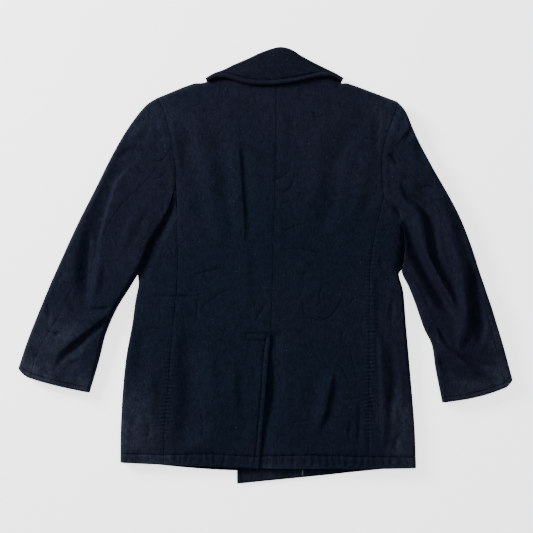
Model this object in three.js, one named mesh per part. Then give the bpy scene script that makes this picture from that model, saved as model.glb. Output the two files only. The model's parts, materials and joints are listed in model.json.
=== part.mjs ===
import * as THREE from "three";

const { lerp, smoothstep, degToRad, clamp } = THREE.MathUtils;

// A double-breasted wool pea coat that lies on its front, back up.
// Sizes are in millimetres: x to the right, y from the hem to the collar, z up from the surface.
// Left and right are the wearer's, and the viewer's too, because the back is what shows.

// Cloth
const WALL = 3;
const FACING_WALL = 2;
const SEAM_GAP = 0.4;
const LAYER_GAP = 0.4;
const LAYER_STEP = WALL + LAYER_GAP;

// Folds at the edges, seen from above
const SHOULDER_REACH = 12;
const SIDE_REACH = 14;
const COLLAR_REACH = 9;
const COLLAR_REACH_SHARE = 0.75;

// Shares of a seam or a row over which one shape turns into the next
const FOLD_FADE = 0.22;
const SIDE_REACH_FADE = 0.3;
const ARMHOLE_FADE = 0.35;
const CUFF_FADE = 0.75;
const COLLAR_FADE = 0.25;

// Mesh steps
const SIDE_ROWS = 18;
const ARMHOLE_OUTER_STEPS = 4;
const ARMHOLE_INNER_STEPS = 4;
const SIDE_STEPS = 3;
const FOLD_STEPS = 6;
const BACK_COLUMNS = 8;
const FRONT_COLUMNS = 8;
const SLEEVE_ROWS = 18;
const COLLAR_COLUMNS = 24;
const COLLAR_STEPS = 4;
const FACING_STEPS = 4;
const LAPEL_STEPS = 6;
const BUTTON_SIDES = 32;

// Buttons, in two columns of three
const BUTTON_DIAMETER = 30;
const BUTTON_COLUMNS = [-40, 56];
const BUTTON_ROWS = [170, 60, -50];

const CLOTH = { color: 0x141c28, roughness: 0.95, metalness: 0 };
const BUTTON_FINISH = { color: 0x0b0d12, roughness: 0.4, metalness: 0 };

// A short table: each row's values under the names of its columns.
function table(columns, rows) {
  const names = columns.split(" ");
  return rows.map((row) => Object.fromEntries(names.map((name, i) => [name, row[i]])));
}

// Height of the back's upper face, by its place between hem and collar.
const BODY_HEIGHT = table("y height", [
  [-440, 21], [-400, 21], [-300, 22], [-120, 25], [0, 26], [150, 30], [300, 33], [440, 33],
]);

// Soft folds: a height over the plain surface, a half width and the line that the fold follows. In
// order: four on the back, four on the left sleeve, five on the right sleeve.
const FOLDS = table("height width line", [
  [-3, 34, [[-53, 241], [-46, 185], [-39, 97], [-36, 37]]],
  [-3.5, 30, [[142, -203], [127, -257], [117, -295], [108, -331]]],
  [3.5, 30, [[228, -137], [232, -209], [231, -289], [235, -351]]],
  [-3, 30, [[-175, -181], [-165, -240], [-161, -266], [-181, -351]]],
  [6, 30, [[-277, 199], [-317, 109], [-335, 29], [-348, -69]]],
  [-6, 30, [[-289, 189], [-347, 91], [-361, 40], [-354, -47]]],
  [4, 28, [[-299, -75], [-354, -122], [-424, -182]]],
  [-4, 28, [[-330, -135], [-370, -170], [-424, -205]]],
  [5, 28, [[253, 139], [303, 89], [327, 13], [389, -104]]],
  [-6, 24, [[283, 60], [296, 9], [326, -59], [343, -89]]],
  [5, 28, [[276, 196], [341, 113], [366, 21], [391, -80], [376, -181]]],
  [-5, 26, [[403, -9], [411, -89], [426, -127]]],
  [4, 26, [[333, -144], [381, -194], [426, -229]]],
]);

// Right edge of the left back below the vent's top, where it laps over the right back.
const VENT_TOP = -133;
const VENT_LAP = 44;
const VENT_CLEARANCE = 4;
const VENT_RISE = 26;
const FLAP_EDGE = table("y x", [
  [-404, -13], [-366, -9], [-281, -1], [-209, 4], [-169, 7], [-146, 11], [VENT_TOP, 11],
]);

// Centre back seam above the vent.
const CENTRE_SEAM = table("y x", [
  [VENT_TOP, 11], [-103, 12], [-9, 15], [65, 16], [197, 20], [381, 22],
]);

// Heights of the mesh rows on the centre back, from hem to vent top, then to the armpit's level.
const CENTRE_ROWS = [
  -404, -366, -328, -291, -254, -218, -184, -158, -142, -131,
  -90, -52, -14, 18, 48, 78, 106, 130, 152,
];
const VENT_ROWS = 9;
const UNDERLAP_ROWS = 8;
const NECK_LEVEL = 381;

// Free edges of the fronts: straight from the hem to the break, then along the lapel's roll line.
const FRONTS = {
  left: { hem: [80, -411], breakPoint: [80, 150], neck: [-65, 384], hemBow: 7 },
  right: { hem: [-57, -437.3], breakPoint: [-61, 150], neck: [109, 383], hemBow: 0 },
};

// Inner front's step over the outer one, and the rise of both over lapels and buttons.
const STEP_OVER = { full: 124, none: 170, top: 285, end: 340 };
const BUTTON_RISE = { hemEnd: -250, full: -90 };

// Facing of the inner front, by its corners at the hem and above.
const FACING = { hemLeft: [-54, -434], hemRight: [75, -421], topLeft: [-58, -262], topRight: [75, -262] };

// Each half's armhole and shoulder, its side panel and its sleeve, from top to bottom.
const HALVES = {
  left: {
    armhole: [
      [-217, 336], [-207, 319], [-201, 303], [-192, 274], [-188, 254], [-185, 231],
      [-180, 205], [-178, 185], [-178, 160],
    ],
    seamShare: 0.53,
    shoulder: [[-217, 336], [-149, 363], [-122, 367], [-65, 384]],
    side: table("seamX seamY edgeX edgeY", [
      [-178, 160, -186, 143],
      [-176, 114, -189, 108],
      [-176, 57, -219, 55],
      [-175, 0, -243, 0],
      [-178, -60, -259, -62],
      [-184, -115, -267, -117],
      [-190, -180, -279, -182],
      [-195, -250, -286, -250],
      [-202, -323, -290, -320],
      [-203, -397, -291, -393],
    ]),
    sleeve: table("outerX outerY seamX seamY innerX innerY height reach", [
      [-217, 336, -186, 233, -186, 143, 33, 12],
      [-243, 317, -204, 211, -188, 131, 33, 12],
      [-279, 269, -232, 174, -193, 108, 34, 14],
      [-313, 209, -262, 146, -206, 80, 34, 16],
      [-343, 149, -296, 108, -226, 47, 34, 18],
      [-373, 89, -325, 54, -247, -2, 34, 18],
      [-401, 29, -343, -3, -271, -43, 33, 18],
      [-428, -31, -386, -48, -297, -85, 32, 18],
      [-453, -91, -414, -103, -319, -135, 30, 16],
      [-477, -151, -452, -158, -333, -189, 26, 14],
      [-495, -204, -471, -212, -352, -253, 22, 12],
    ]),
  },
  right: {
    armhole: [
      [263, 329], [260, 311], [251, 286], [243, 263], [237, 243], [233, 226],
      [232, 201], [233, 171], [236, 138],
    ],
    seamShare: 0.33,
    shoulder: [[263, 329], [171, 363], [150, 366], [109, 383]],
    side: table("seamX seamY edgeX edgeY", [
      [236, 138, 276, 81],
      [228, 104, 276, 50],
      [217, 55, 272, 13],
      [209, 0, 267, -16],
      [208, -55, 276, -52],
      [207, -115, 281, -112],
      [207, -180, 287, -180],
      [207, -250, 293, -248],
      [206, -325, 299, -325],
      [206, -406, 302, -404],
    ]),
    sleeve: table("outerX outerY seamX seamY innerX innerY height reach", [
      [263, 329, 238, 246, 276, 81, 33, 12],
      [281, 307, 258, 226, 279, 67, 33, 12],
      [299, 265, 281, 193, 280, 45, 34, 14],
      [325, 213, 311, 156, 276, 13, 34, 16],
      [357, 157, 339, 120, 273, -13, 34, 17],
      [387, 101, 363, 67, 287, -43, 34, 17],
      [409, 47, 390, 25, 301, -79, 33, 16],
      [431, -19, 418, -31, 317, -125, 32, 13],
      [453, -85, 440, -93, 333, -159, 30, 12],
      [475, -155, 461, -161, 341, -209, 26, 12],
      [495, -227, 481, -232, 354, -273, 22, 12],
    ]),
  },
};
const CUFF_BOW = 12;
const SIDE_UNDER = 30;

// Collar seen from above: its upper outline and the fall's lower edge, from left tip to right tip.
const COLLAR = table("outerX outerY edgeX edgeY", [
  [-120, 375, -116, 367],
  [-103, 385, -99, 374],
  [-84, 392, -78, 373],
  [-61, 403, -58, 367],
  [-33, 415, -35, 361],
  [-7, 427, -10, 359],
  [26, 437, 20, 359],
  [50, 433, 45, 362],
  [73, 419, 68, 366],
  [95, 407, 90, 371],
  [117, 396, 110, 375],
  [140, 385, 135, 376],
  [156, 375, 151, 367],
]);
const COLLAR_TOP = 31;
const COLLAR_LOW = 13;
const COLLAR_MID = (COLLAR_TOP + COLLAR_LOW) / 2;
const STAND_SHARES = { from: 0.29, to: 0.76 };
const STAND_END = 377;
const COLLAR_ENDS = {
  left: { from: 0, to: 0.24, point: [-150, 310], inner: [-72, 352] },
  right: { from: 1, to: 0.84, point: [186, 310], inner: [118, 352] },
};

// Lapels on the floor side: the roll line from the break to the neck, and the leading edge.
const LAPELS = {
  left: { rollLow: [22, 236], rollHigh: [-56, 366], edgeLow: [17, 233], edgeHigh: [-128, 272] },
  right: { rollLow: [26, 236], rollHigh: [101, 366], edgeLow: [31, 233], edgeHigh: [172, 272] },
};

// Value at a share of the way along evenly spaced values, on a smooth curve through them.
function spline(values, share) {
  const last = values.length - 1;
  const at = clamp(share, 0, 1) * last;
  const i = Math.min(Math.floor(at), last - 1);
  const f = at - i;
  const here = values[i];
  const next = values[i + 1];
  const before = values[i - 1] ?? 2 * here - next;
  const after = values[i + 2] ?? 2 * next - here;
  const slope = (next - before) * f;
  const bend = (2 * before - 5 * here + 4 * next - after) * f * f;
  const twist = (3 * here - before - 3 * next + after) * f * f * f;
  return 0.5 * (2 * here + slope + bend + twist);
}

// A table's row at a share of the way down the table.
function rowAt(rows, share) {
  const names = Object.keys(rows[0]);
  return Object.fromEntries(names.map((name) => [name, spline(rows.map((row) => row[name]), share)]));
}

// Straight reading of a table between its rows.
function readTable(rows, key, value, at) {
  const above = rows.findIndex((row) => row[key] >= at);
  if (above === 0) return rows[0][value];
  if (above < 0) return rows.at(-1)[value];
  const low = rows[above - 1];
  const high = rows[above];
  return lerp(low[value], high[value], (at - low[key]) / (high[key] - low[key]));
}

function plan(pair) {
  return new THREE.Vector2(pair[0], pair[1]);
}

function mix(from, to, share) {
  return from.clone().lerp(to, share);
}

// Distance from a point to a line of straight stretches, and the share of the line where it is met.
function nearest(line, x, y) {
  let best = { distance: Infinity, share: 0 };
  for (let i = 0; i < line.length - 1; i += 1) {
    const [ax, ay] = line[i];
    const [bx, by] = line[i + 1];
    const length2 = (bx - ax) ** 2 + (by - ay) ** 2;
    const f = clamp(((x - ax) * (bx - ax) + (y - ay) * (by - ay)) / length2, 0, 1);
    const distance = Math.hypot(x - lerp(ax, bx, f), y - lerp(ay, by, f));
    if (distance < best.distance) best = { distance, share: (i + f) / (line.length - 1) };
  }
  return best;
}

function foldHeight(x, y) {
  let height = 0;
  for (const fold of FOLDS) {
    const { distance, share } = nearest(fold.line, x, y);
    if (distance < fold.width) {
      const ends = smoothstep(share, 0, FOLD_FADE) * smoothstep(1 - share, 0, FOLD_FADE);
      height += fold.height * ends * 0.5 * (1 + Math.cos((Math.PI * distance) / fold.width));
    }
  }
  return height;
}

function backHeight(x, y) {
  return readTable(BODY_HEIGHT, "y", "height", y) + foldHeight(x, y);
}

// One place in a panel: a point on its outer face and one on its inner face.
function cell(outerPlan, outerZ, innerPlan, innerZ) {
  return {
    outer: new THREE.Vector3(outerPlan.x, outerPlan.y, outerZ),
    inner: new THREE.Vector3(innerPlan.x, innerPlan.y, innerZ),
  };
}

// A place on an upper layer, whose outer face looks up.
function upperCell(point, z, wall = WALL) {
  return cell(point, z, point, z - wall);
}

// A place on a lower layer, whose outer face looks down.
function lowerCell(point, z, wall = WALL) {
  return cell(point, z, point, z + wall);
}

// Places round a folded edge, between two angles from the horizontal. planAt gives the point at a
// distance from the edge, and reach is where the fold starts.
function foldCells(planAt, reach, high, low, fromAngle, toAngle) {
  const steps = Math.round((FOLD_STEPS * Math.abs(toAngle - fromAngle)) / 180);
  const centre = (high + low) / 2;
  const rise = (high - low) / 2;
  const cells = [];
  for (let i = 0; i <= steps; i += 1) {
    const angle = degToRad(lerp(fromAngle, toAngle, i / steps));
    cells.push(cell(
      planAt(reach - reach * Math.cos(angle)),
      centre + rise * Math.sin(angle),
      planAt(reach - (reach - WALL) * Math.cos(angle)),
      centre + (rise - WALL) * Math.sin(angle),
    ));
  }
  return cells;
}

// Draws a panel's four edges in, so that it stands clear of its neighbours at the seams.
function insetEdges(grid) {
  const lastRow = grid.length - 1;
  const lastColumn = grid[0].length - 1;
  const pull = (edge, inside) => {
    const shift = inside.outer.clone().sub(edge.outer).setLength(SEAM_GAP / 2);
    edge.outer.add(shift);
    edge.inner.add(shift);
  };
  for (let column = 0; column <= lastColumn; column += 1) {
    pull(grid[0][column], grid[1][column]);
    pull(grid[lastRow][column], grid[lastRow - 1][column]);
  }
  for (const row of grid) {
    pull(row[0], row[1]);
    pull(row[lastColumn], row[lastColumn - 1]);
  }
}

function signedVolume(points, index) {
  let volume = 0;
  for (let i = 0; i < index.length; i += 3) {
    const [a, b, c] = [points[index[i]], points[index[i + 1]], points[index[i + 2]]];
    volume += a.dot(b.clone().cross(c)) / 6;
  }
  return volume;
}

// Closed wall between a grid's outer and inner faces.
function wallGeometry(grid) {
  const rows = grid.length - 1;
  const columns = grid[0].length - 1;
  const width = columns + 1;
  const cells = grid.flat();
  const points = [...cells.map((place) => place.outer), ...cells.map((place) => place.inner)];
  const outer = (row, column) => row * width + column;
  const inner = (row, column) => cells.length + row * width + column;
  const index = [];
  const quad = (a, b, c, d) => index.push(a, b, c, a, c, d);
  for (let row = 0; row < rows; row += 1) {
    const next = row + 1;
    for (let column = 0; column < columns; column += 1) {
      quad(outer(row, column), outer(row, column + 1), outer(next, column + 1), outer(next, column));
      quad(inner(row, column), inner(next, column), inner(next, column + 1), inner(row, column + 1));
    }
    quad(outer(row, 0), outer(next, 0), inner(next, 0), inner(row, 0));
    quad(inner(row, columns), inner(next, columns), outer(next, columns), outer(row, columns));
  }
  for (let column = 0; column < columns; column += 1) {
    const next = column + 1;
    quad(inner(0, column), inner(0, next), outer(0, next), outer(0, column));
    quad(outer(rows, column), outer(rows, next), inner(rows, next), inner(rows, column));
  }
  if (signedVolume(points, index) < 0) index.reverse();
  const geometry = new THREE.BufferGeometry().setFromPoints(points);
  geometry.setIndex(index);
  geometry.computeVertexNormals();
  return geometry;
}

const coat = new THREE.Group();

function addMesh(name, geometry, finish = CLOTH) {
  const mesh = new THREE.Mesh(geometry, new THREE.MeshStandardMaterial(finish));
  mesh.name = name;
  coat.add(mesh);
  return mesh;
}

function addPanel(name, grid) {
  insetEdges(grid);
  addMesh(name, wallGeometry(grid));
}

// Side panel's seam and edge at a share of the way from armpit to hem.
function sideRow(half, share) {
  const { seamX, seamY, edgeX, edgeY } = rowAt(half.side, share);
  return { seam: new THREE.Vector2(seamX, seamY), edge: new THREE.Vector2(edgeX, edgeY) };
}

// How far the side panel goes in under the coat: to below its seam at the armpit, then less.
function sideUnder(half, share) {
  const { seam, edge } = sideRow(half, 0);
  return lerp(seam.distanceTo(edge), SIDE_UNDER, smoothstep(share * SIDE_ROWS, 0, 2));
}

function sideReach(share) {
  return lerp(SHOULDER_REACH, SIDE_REACH, smoothstep(share, 0, SIDE_REACH_FADE));
}

// Point on a side panel's row, at a distance from the coat's edge.
function sidePlan(half, share, distance) {
  const { seam, edge } = sideRow(half, share);
  return edge.clone().addScaledVector(seam.clone().sub(edge).normalize(), distance);
}

// The armhole from the shoulder to the armpit: the curve beside the back, then the side panel's top.
function armholeOf(half) {
  const curve = new THREE.SplineCurve(half.armhole.map(plan));
  const tip = sideRow(half, 0);
  const backLength = curve.getLength();
  const length = backLength + tip.seam.distanceTo(tip.edge);
  const backShare = backLength / length;
  const pointAt = (share) => (share < backShare
    ? curve.getPointAt(clamp(share / backShare, 0, 1))
    : mix(tip.seam, tip.edge, (share - backShare) / (1 - backShare)));
  return { pointAt, backShare, length };
}

function evenShares(from, to, steps) {
  return Array.from({ length: steps + 1 }, (_, i) => lerp(from, to, i / steps));
}

// Shares of the armhole where the mesh has a column, from the shoulder's fold to the back's seam.
function armholeShares(half) {
  const armhole = armholeOf(half);
  return [
    ...evenShares(SHOULDER_REACH / armhole.length, half.seamShare, ARMHOLE_OUTER_STEPS),
    ...evenShares(half.seamShare, armhole.backShare, ARMHOLE_INNER_STEPS).slice(1),
  ];
}

function addSide(name, half) {
  const grid = [];
  for (let row = 0; row <= SIDE_ROWS; row += 1) {
    const share = row / SIDE_ROWS;
    const { seam, edge } = sideRow(half, share);
    const reach = sideReach(share);
    const planAt = (distance) => sidePlan(half, share, distance);
    const foldStart = planAt(reach);
    const top = backHeight(foldStart.x, foldStart.y);
    const cells = evenShares(seam.distanceTo(edge), reach, SIDE_STEPS).slice(0, -1).map((distance) => {
      const point = planAt(distance);
      return upperCell(point, backHeight(point.x, point.y));
    });
    cells.push(...foldCells(planAt, reach, top, 0, 90, -90));
    for (const distance of evenShares(reach, sideUnder(half, share), SIDE_STEPS).slice(1)) {
      cells.push(lowerCell(planAt(distance), 0));
    }
    grid.push(cells);
  }
  addPanel(name, grid);
}

// Point of a body panel's mesh: straight between its left and right edges, bent near the hem and
// the shoulder to follow those edges.
function bodyPlan(left, right, lowerEdge, upperEdge, row, share) {
  const t = row / (left.length - 1);
  const low = lowerEdge(share).sub(mix(left[0], right[0], share));
  const high = upperEdge(share).sub(mix(left.at(-1), right.at(-1), share));
  return mix(left[row], right[row], share)
    .addScaledVector(low, (1 - t) ** 3)
    .addScaledVector(high, t ** 3);
}

// Way out of the shoulder's edge, from along the armhole at its corner to straight up at the neck.
function shoulderWay(half, share) {
  const armhole = armholeOf(half);
  const fold = armhole.pointAt(SHOULDER_REACH / armhole.length);
  const corner = armhole.pointAt(0).sub(fold).normalize();
  return mix(corner, new THREE.Vector2(0, 1), share).normalize();
}

// Body panel from hem to shoulder, with the shoulder's edge folded towards the other layer.
function bodyGrid(half, edges, shareAt, columns, upperFace) {
  const { outerSide, innerSide, lowerEdge, outline, heightAt } = edges;
  const upperEdge = (share) => outline(share).addScaledVector(shoulderWay(half, share), -SHOULDER_REACH);
  const last = outerSide.length - 1;
  const grid = outerSide.map((_, row) => Array.from({ length: columns + 1 }, (__, column) => {
    const share = shareAt(row, column);
    const point = bodyPlan(outerSide, innerSide, lowerEdge, upperEdge, row, share);
    const z = heightAt({ point, row, share });
    return upperFace ? upperCell(point, z) : lowerCell(point, z);
  }));
  const folds = grid[last].map(({ outer }, column) => {
    const start = new THREE.Vector2(outer.x, outer.y);
    const way = shoulderWay(half, shareAt(last, column));
    const planAt = (distance) => start.clone().addScaledVector(way, SHOULDER_REACH - distance);
    const top = backHeight(start.x, start.y);
    return upperFace
      ? foldCells(planAt, SHOULDER_REACH, top, 0, 90, 0)
      : foldCells(planAt, SHOULDER_REACH, top - outer.z, outer.z, -90, 0);
  });
  for (let step = 1; step < folds[0].length; step += 1) {
    grid.push(folds.map((cells) => cells[step]));
  }
  return grid;
}

// A body panel's outer side from hem to shoulder: the side panel's edge, then the armhole.
function outerSideOf(half, distanceAt) {
  const armhole = armholeOf(half);
  const below = evenShares(1, 0, SIDE_ROWS).map((share) => sidePlan(half, share, distanceAt(share)));
  const above = armholeShares(half).reverse().slice(1).map((share) => armhole.pointAt(share));
  return [...below, ...above];
}

// Rows between the armpit's level and the shoulder's fold, on a body panel's inner side.
function upperSteps(from, to) {
  const steps = ARMHOLE_OUTER_STEPS + ARMHOLE_INNER_STEPS;
  return evenShares(0, 1, steps).slice(1).map((share) => mix(from, to, share));
}

function centreX(y) {
  return readTable(y < VENT_TOP ? FLAP_EDGE : CENTRE_SEAM, "y", "x", y);
}

// Inner side of a back panel, from the hem up. The underlap lies further in, below the flap.
function backInnerSide(underlap) {
  const below = CENTRE_ROWS.map((y, row) => {
    const lap = underlap && row < UNDERLAP_ROWS ? VENT_LAP : 0;
    return new THREE.Vector2(centreX(y) - lap, y);
  });
  const top = new THREE.Vector2(centreX(NECK_LEVEL), NECK_LEVEL - SHOULDER_REACH);
  return [...below, ...upperSteps(below.at(-1), top)];
}

function backEdges(half, underlap) {
  const outerSide = outerSideOf(half, (share) => {
    const { seam, edge } = sideRow(half, share);
    return seam.distanceTo(edge);
  });
  const innerSide = backInnerSide(underlap);
  const neck = new THREE.Vector2(centreX(NECK_LEVEL), NECK_LEVEL);
  const outline = new THREE.SplineCurve([...half.shoulder.map(plan), neck]);
  return {
    outerSide,
    innerSide,
    lowerEdge: (share) => mix(outerSide[0], innerSide[0], share),
    outline: (share) => outline.getPointAt(share),
    heightAt: ({ point }) => backHeight(point.x, point.y),
  };
}

function addBacks() {
  const left = backEdges(HALVES.left, false);
  const even = (row, column) => column / BACK_COLUMNS;
  addPanel("back_left", bodyGrid(HALVES.left, left, even, BACK_COLUMNS, true));

  const right = backEdges(HALVES.right, true);
  const ventDrop = (point, row) => {
    if (row >= VENT_ROWS) return 0;
    const beyond = point.x - (centreX(point.y) + VENT_CLEARANCE);
    return (LAYER_STEP + LAYER_GAP) * (1 - smoothstep(beyond, 1, VENT_RISE));
  };
  right.heightAt = ({ point, row }) => backHeight(point.x, point.y) - ventDrop(point, row);
  const lapped = (row, column) => {
    const outer = right.outerSide[row];
    const inner = right.innerSide[row];
    const offset = row < VENT_ROWS ? VENT_CLEARANCE : VENT_CLEARANCE + WALL;
    const foldColumn = (centreX(inner.y) + offset - outer.x) / (inner.x - outer.x);
    return column === BACK_COLUMNS ? 1 : (foldColumn * column) / (BACK_COLUMNS - 1);
  };
  addPanel("back_right", bodyGrid(HALVES.right, right, lapped, BACK_COLUMNS, true));
}

// Step of the inner front over the outer one.
function stepOver(point) {
  const across = 1 - smoothstep(point.x, STEP_OVER.full, STEP_OVER.none);
  return LAYER_STEP * across * (1 - smoothstep(point.y, STEP_OVER.top, STEP_OVER.end));
}

// Rise of the fronts over the buttons and lapels that lie below them.
function buttonRise(point, share) {
  const inside = smoothstep(share, 0, 1 / FRONT_COLUMNS);
  return LAYER_STEP * inside * smoothstep(point.y, BUTTON_RISE.hemEnd, BUTTON_RISE.full);
}

function frontEdges(half, front) {
  const outerSide = outerSideOf(half, (share) => sideUnder(half, share));
  const hem = plan(front.hem);
  const breakPoint = plan(front.breakPoint);
  const neck = plan(front.neck);
  const below = evenShares(0, 1, SIDE_ROWS).map((share) => mix(hem, breakPoint, share));
  const neckFold = neck.clone().setY(neck.y - SHOULDER_REACH);
  const shoulder = new THREE.SplineCurve(half.shoulder.map(plan));
  const lowerEdge = (share) => {
    const point = mix(outerSide[0], hem, share);
    point.y -= front.hemBow * Math.sin(Math.PI * share);
    return point;
  };
  return {
    outerSide,
    innerSide: [...below, ...upperSteps(breakPoint, neckFold)],
    lowerEdge,
    outline: (share) => shoulder.getPointAt(share),
  };
}

function addFronts() {
  const even = (row, column) => column / FRONT_COLUMNS;
  const left = frontEdges(HALVES.left, FRONTS.left);
  left.heightAt = ({ point, share }) => buttonRise(point, share);
  addPanel("front_left", bodyGrid(HALVES.left, left, even, FRONT_COLUMNS, false));

  const right = frontEdges(HALVES.right, FRONTS.right);
  right.heightAt = ({ point, share }) => buttonRise(point, share) + stepOver(point);
  addPanel("front_right", bodyGrid(HALVES.right, right, even, FRONT_COLUMNS, false));
}

// Four-cornered piece that lies at one height.
function flatPiece(name, corners, z, wall, steps) {
  const [lowLeft, lowRight, highLeft, highRight] = corners.map(plan);
  const grid = evenShares(0, 1, steps).map((up) => evenShares(0, 1, steps).map((across) => {
    const point = mix(mix(lowLeft, lowRight, across), mix(highLeft, highRight, across), up);
    return lowerCell(point, z, wall);
  }));
  addPanel(name, grid);
}

function addFacing() {
  const corners = [FACING.hemLeft, FACING.hemRight, FACING.topLeft, FACING.topRight];
  flatPiece("facing_right", corners, 2 * LAYER_STEP, FACING_WALL, FACING_STEPS);
}

function addLapels() {
  for (const [side, lapel] of Object.entries(LAPELS)) {
    const corners = [lapel.edgeLow, lapel.rollLow, lapel.edgeHigh, lapel.rollHigh];
    flatPiece(`lapel_${side}`, corners, 0, WALL, LAPEL_STEPS);
  }
}

function addButtons() {
  const radius = BUTTON_DIAMETER / 2;
  let number = 1;
  for (const y of BUTTON_ROWS) {
    for (const x of BUTTON_COLUMNS) {
      const geometry = new THREE.CylinderGeometry(radius, radius, WALL, BUTTON_SIDES);
      const button = addMesh(`button_${number}`, geometry, BUTTON_FINISH);
      button.rotation.x = Math.PI / 2;
      button.position.set(x, y, WALL / 2);
      number += 1;
    }
  }
}

// Sleeve's row as points, at a share of the way from armhole to cuff.
function sleeveRow(half, share) {
  const row = rowAt(half.sleeve, share);
  return {
    outer: new THREE.Vector2(row.outerX, row.outerY),
    seam: new THREE.Vector2(row.seamX, row.seamY),
    inner: new THREE.Vector2(row.innerX, row.innerY),
    height: row.height,
    reach: row.reach,
  };
}

// Straight reading of a sleeve's row: its outer edge at 0, hind-arm seam at seamShare, inner at 1.
function acrossRow(half, row, across) {
  return across < half.seamShare
    ? mix(row.outer, row.seam, across / half.seamShare)
    : mix(row.seam, row.inner, (across - half.seamShare) / (1 - half.seamShare));
}

// Point of a sleeve, whose first row follows the armhole and whose last one bows at the cuff.
function sleevePlan(half, share, across) {
  const point = acrossRow(half, sleeveRow(half, share), across);
  const bow = armholeOf(half).pointAt(across).sub(acrossRow(half, sleeveRow(half, 0), across));
  point.addScaledVector(bow, 1 - smoothstep(share, 0, ARMHOLE_FADE));
  point.y -= CUFF_BOW * Math.sin(Math.PI * across) * smoothstep(share, CUFF_FADE, 1);
  return point;
}

// Share across a row that lies a distance in from the outer or the inner edge.
function acrossAt(half, share, distance, fromOuter) {
  const row = sleeveRow(half, share);
  const length = armholeOf(half).length;
  const blend = smoothstep(share, 0, ARMHOLE_FADE);
  const piece = fromOuter ? half.seamShare : 1 - half.seamShare;
  const straight = fromOuter ? row.outer.distanceTo(row.seam) : row.seam.distanceTo(row.inner);
  const pieceLength = lerp(piece * length, straight, blend);
  const across = (piece * distance) / pieceLength;
  return fromOuter ? across : 1 - across;
}

function sleeveTop(half, share, point) {
  const own = sleeveRow(half, share).height + foldHeight(point.x, point.y);
  return lerp(backHeight(point.x, point.y), own, smoothstep(share, 0, ARMHOLE_FADE));
}

// Sleeve piece that starts at the hind-arm seam, goes round one edge and ends below that seam.
function addSleevePiece(name, half, outerPiece) {
  const grid = [];
  const beside = armholeShares(half);
  const { backShare } = armholeOf(half);
  for (const share of evenShares(0, 1, SLEEVE_ROWS)) {
    const reach = sleeveRow(half, share).reach;
    const foldShare = acrossAt(half, share, reach, outerPiece);
    const steps = outerPiece ? ARMHOLE_OUTER_STEPS : ARMHOLE_INNER_STEPS + SIDE_STEPS;
    const even = evenShares(half.seamShare, foldShare, steps);
    const atArmhole = outerPiece
      ? beside.slice(0, ARMHOLE_OUTER_STEPS + 1).reverse()
      : [...beside.slice(ARMHOLE_OUTER_STEPS), ...evenShares(backShare, foldShare, SIDE_STEPS).slice(1)];
    const blend = smoothstep(share, 0, ARMHOLE_FADE);
    const shares = even.map((value, i) => lerp(atArmhole[i], value, blend)).slice(0, -1);
    const points = shares.map((across) => sleevePlan(half, share, across));
    const planAt = (distance) => sleevePlan(half, share, acrossAt(half, share, distance, outerPiece));
    const foldStart = planAt(reach);
    const top = sleeveTop(half, share, foldStart);
    grid.push([
      ...points.map((point) => upperCell(point, sleeveTop(half, share, point))),
      ...foldCells(planAt, reach, top, 0, 90, -90),
      ...points.map((point) => lowerCell(point, 0)).reverse(),
    ]);
  }
  addPanel(name, grid);
}

// Collar at a share of the way from its left tip to its right tip.
function collarRow(share) {
  const row = rowAt(COLLAR, share);
  const outer = new THREE.Vector2(row.outerX, row.outerY);
  const edge = new THREE.Vector2(row.edgeX, row.edgeY);
  const width = outer.distanceTo(edge);
  const way = edge.clone().sub(outer).normalize();
  const reach = Math.min(COLLAR_REACH, width * COLLAR_REACH_SHARE);
  const planAt = (distance) => outer.clone().addScaledVector(way, distance);
  return { width, reach, planAt };
}

function addCollarFall() {
  const grid = evenShares(0, 1, COLLAR_COLUMNS).map((share) => {
    const { width, reach, planAt } = collarRow(share);
    const cells = evenShares(width, reach, COLLAR_STEPS).slice(0, -1).map((distance) => {
      const point = planAt(distance);
      const onBack = backHeight(point.x, point.y) + LAYER_STEP + LAYER_GAP;
      const beyond = smoothstep(1 - distance / width, COLLAR_FADE, 1);
      return upperCell(point, lerp(onBack, COLLAR_TOP, beyond));
    });
    return [...cells, ...foldCells(planAt, reach, COLLAR_TOP, COLLAR_LOW, 90, 0)];
  });
  addPanel("collar_fall", grid);
}

function addCollarStand() {
  const columns = Math.round(COLLAR_COLUMNS * (STAND_SHARES.to - STAND_SHARES.from));
  const grid = evenShares(STAND_SHARES.from, STAND_SHARES.to, columns).map((share) => {
    const { reach, planAt } = collarRow(share);
    const start = planAt(reach);
    const end = new THREE.Vector2(start.x, STAND_END);
    const low = backHeight(end.x, end.y) / 2 - LAYER_STEP;
    const cells = evenShares(0, 1, COLLAR_STEPS).slice(1)
      .map((along) => lowerCell(mix(start, end, along), lerp(COLLAR_LOW, low, along)));
    return [...foldCells(planAt, reach, COLLAR_TOP, COLLAR_LOW, 0, -90), ...cells];
  });
  addPanel("collar_stand", grid);
}

// The collar's ends go on round the shoulder and lie below the fronts.
function addCollarEnd(side) {
  const shape = COLLAR_ENDS[side];
  const grid = evenShares(shape.from, shape.to, COLLAR_STEPS).map((share, i) => {
    const { reach, planAt } = collarRow(share);
    const start = planAt(reach);
    const end = mix(plan(shape.point), plan(shape.inner), i / COLLAR_STEPS);
    const cells = evenShares(0, 1, COLLAR_STEPS).slice(1)
      .map((along) => lowerCell(mix(start, end, along), 0));
    return [...foldCells(planAt, reach, 2 * COLLAR_MID, 0, 0, -90), ...cells];
  });
  addPanel(`collar_end_${side}`, grid);
}

addBacks();
addFronts();
addFacing();
addLapels();
addButtons();
addCollarFall();
addCollarStand();
for (const [side, half] of Object.entries(HALVES)) {
  addSide(`side_${side}`, half);
  addSleevePiece(`sleeve_${side}_top`, half, true);
  addSleevePiece(`sleeve_${side}_under`, half, false);
  addCollarEnd(side);
}

export default coat;
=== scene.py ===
import json
import math

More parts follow.
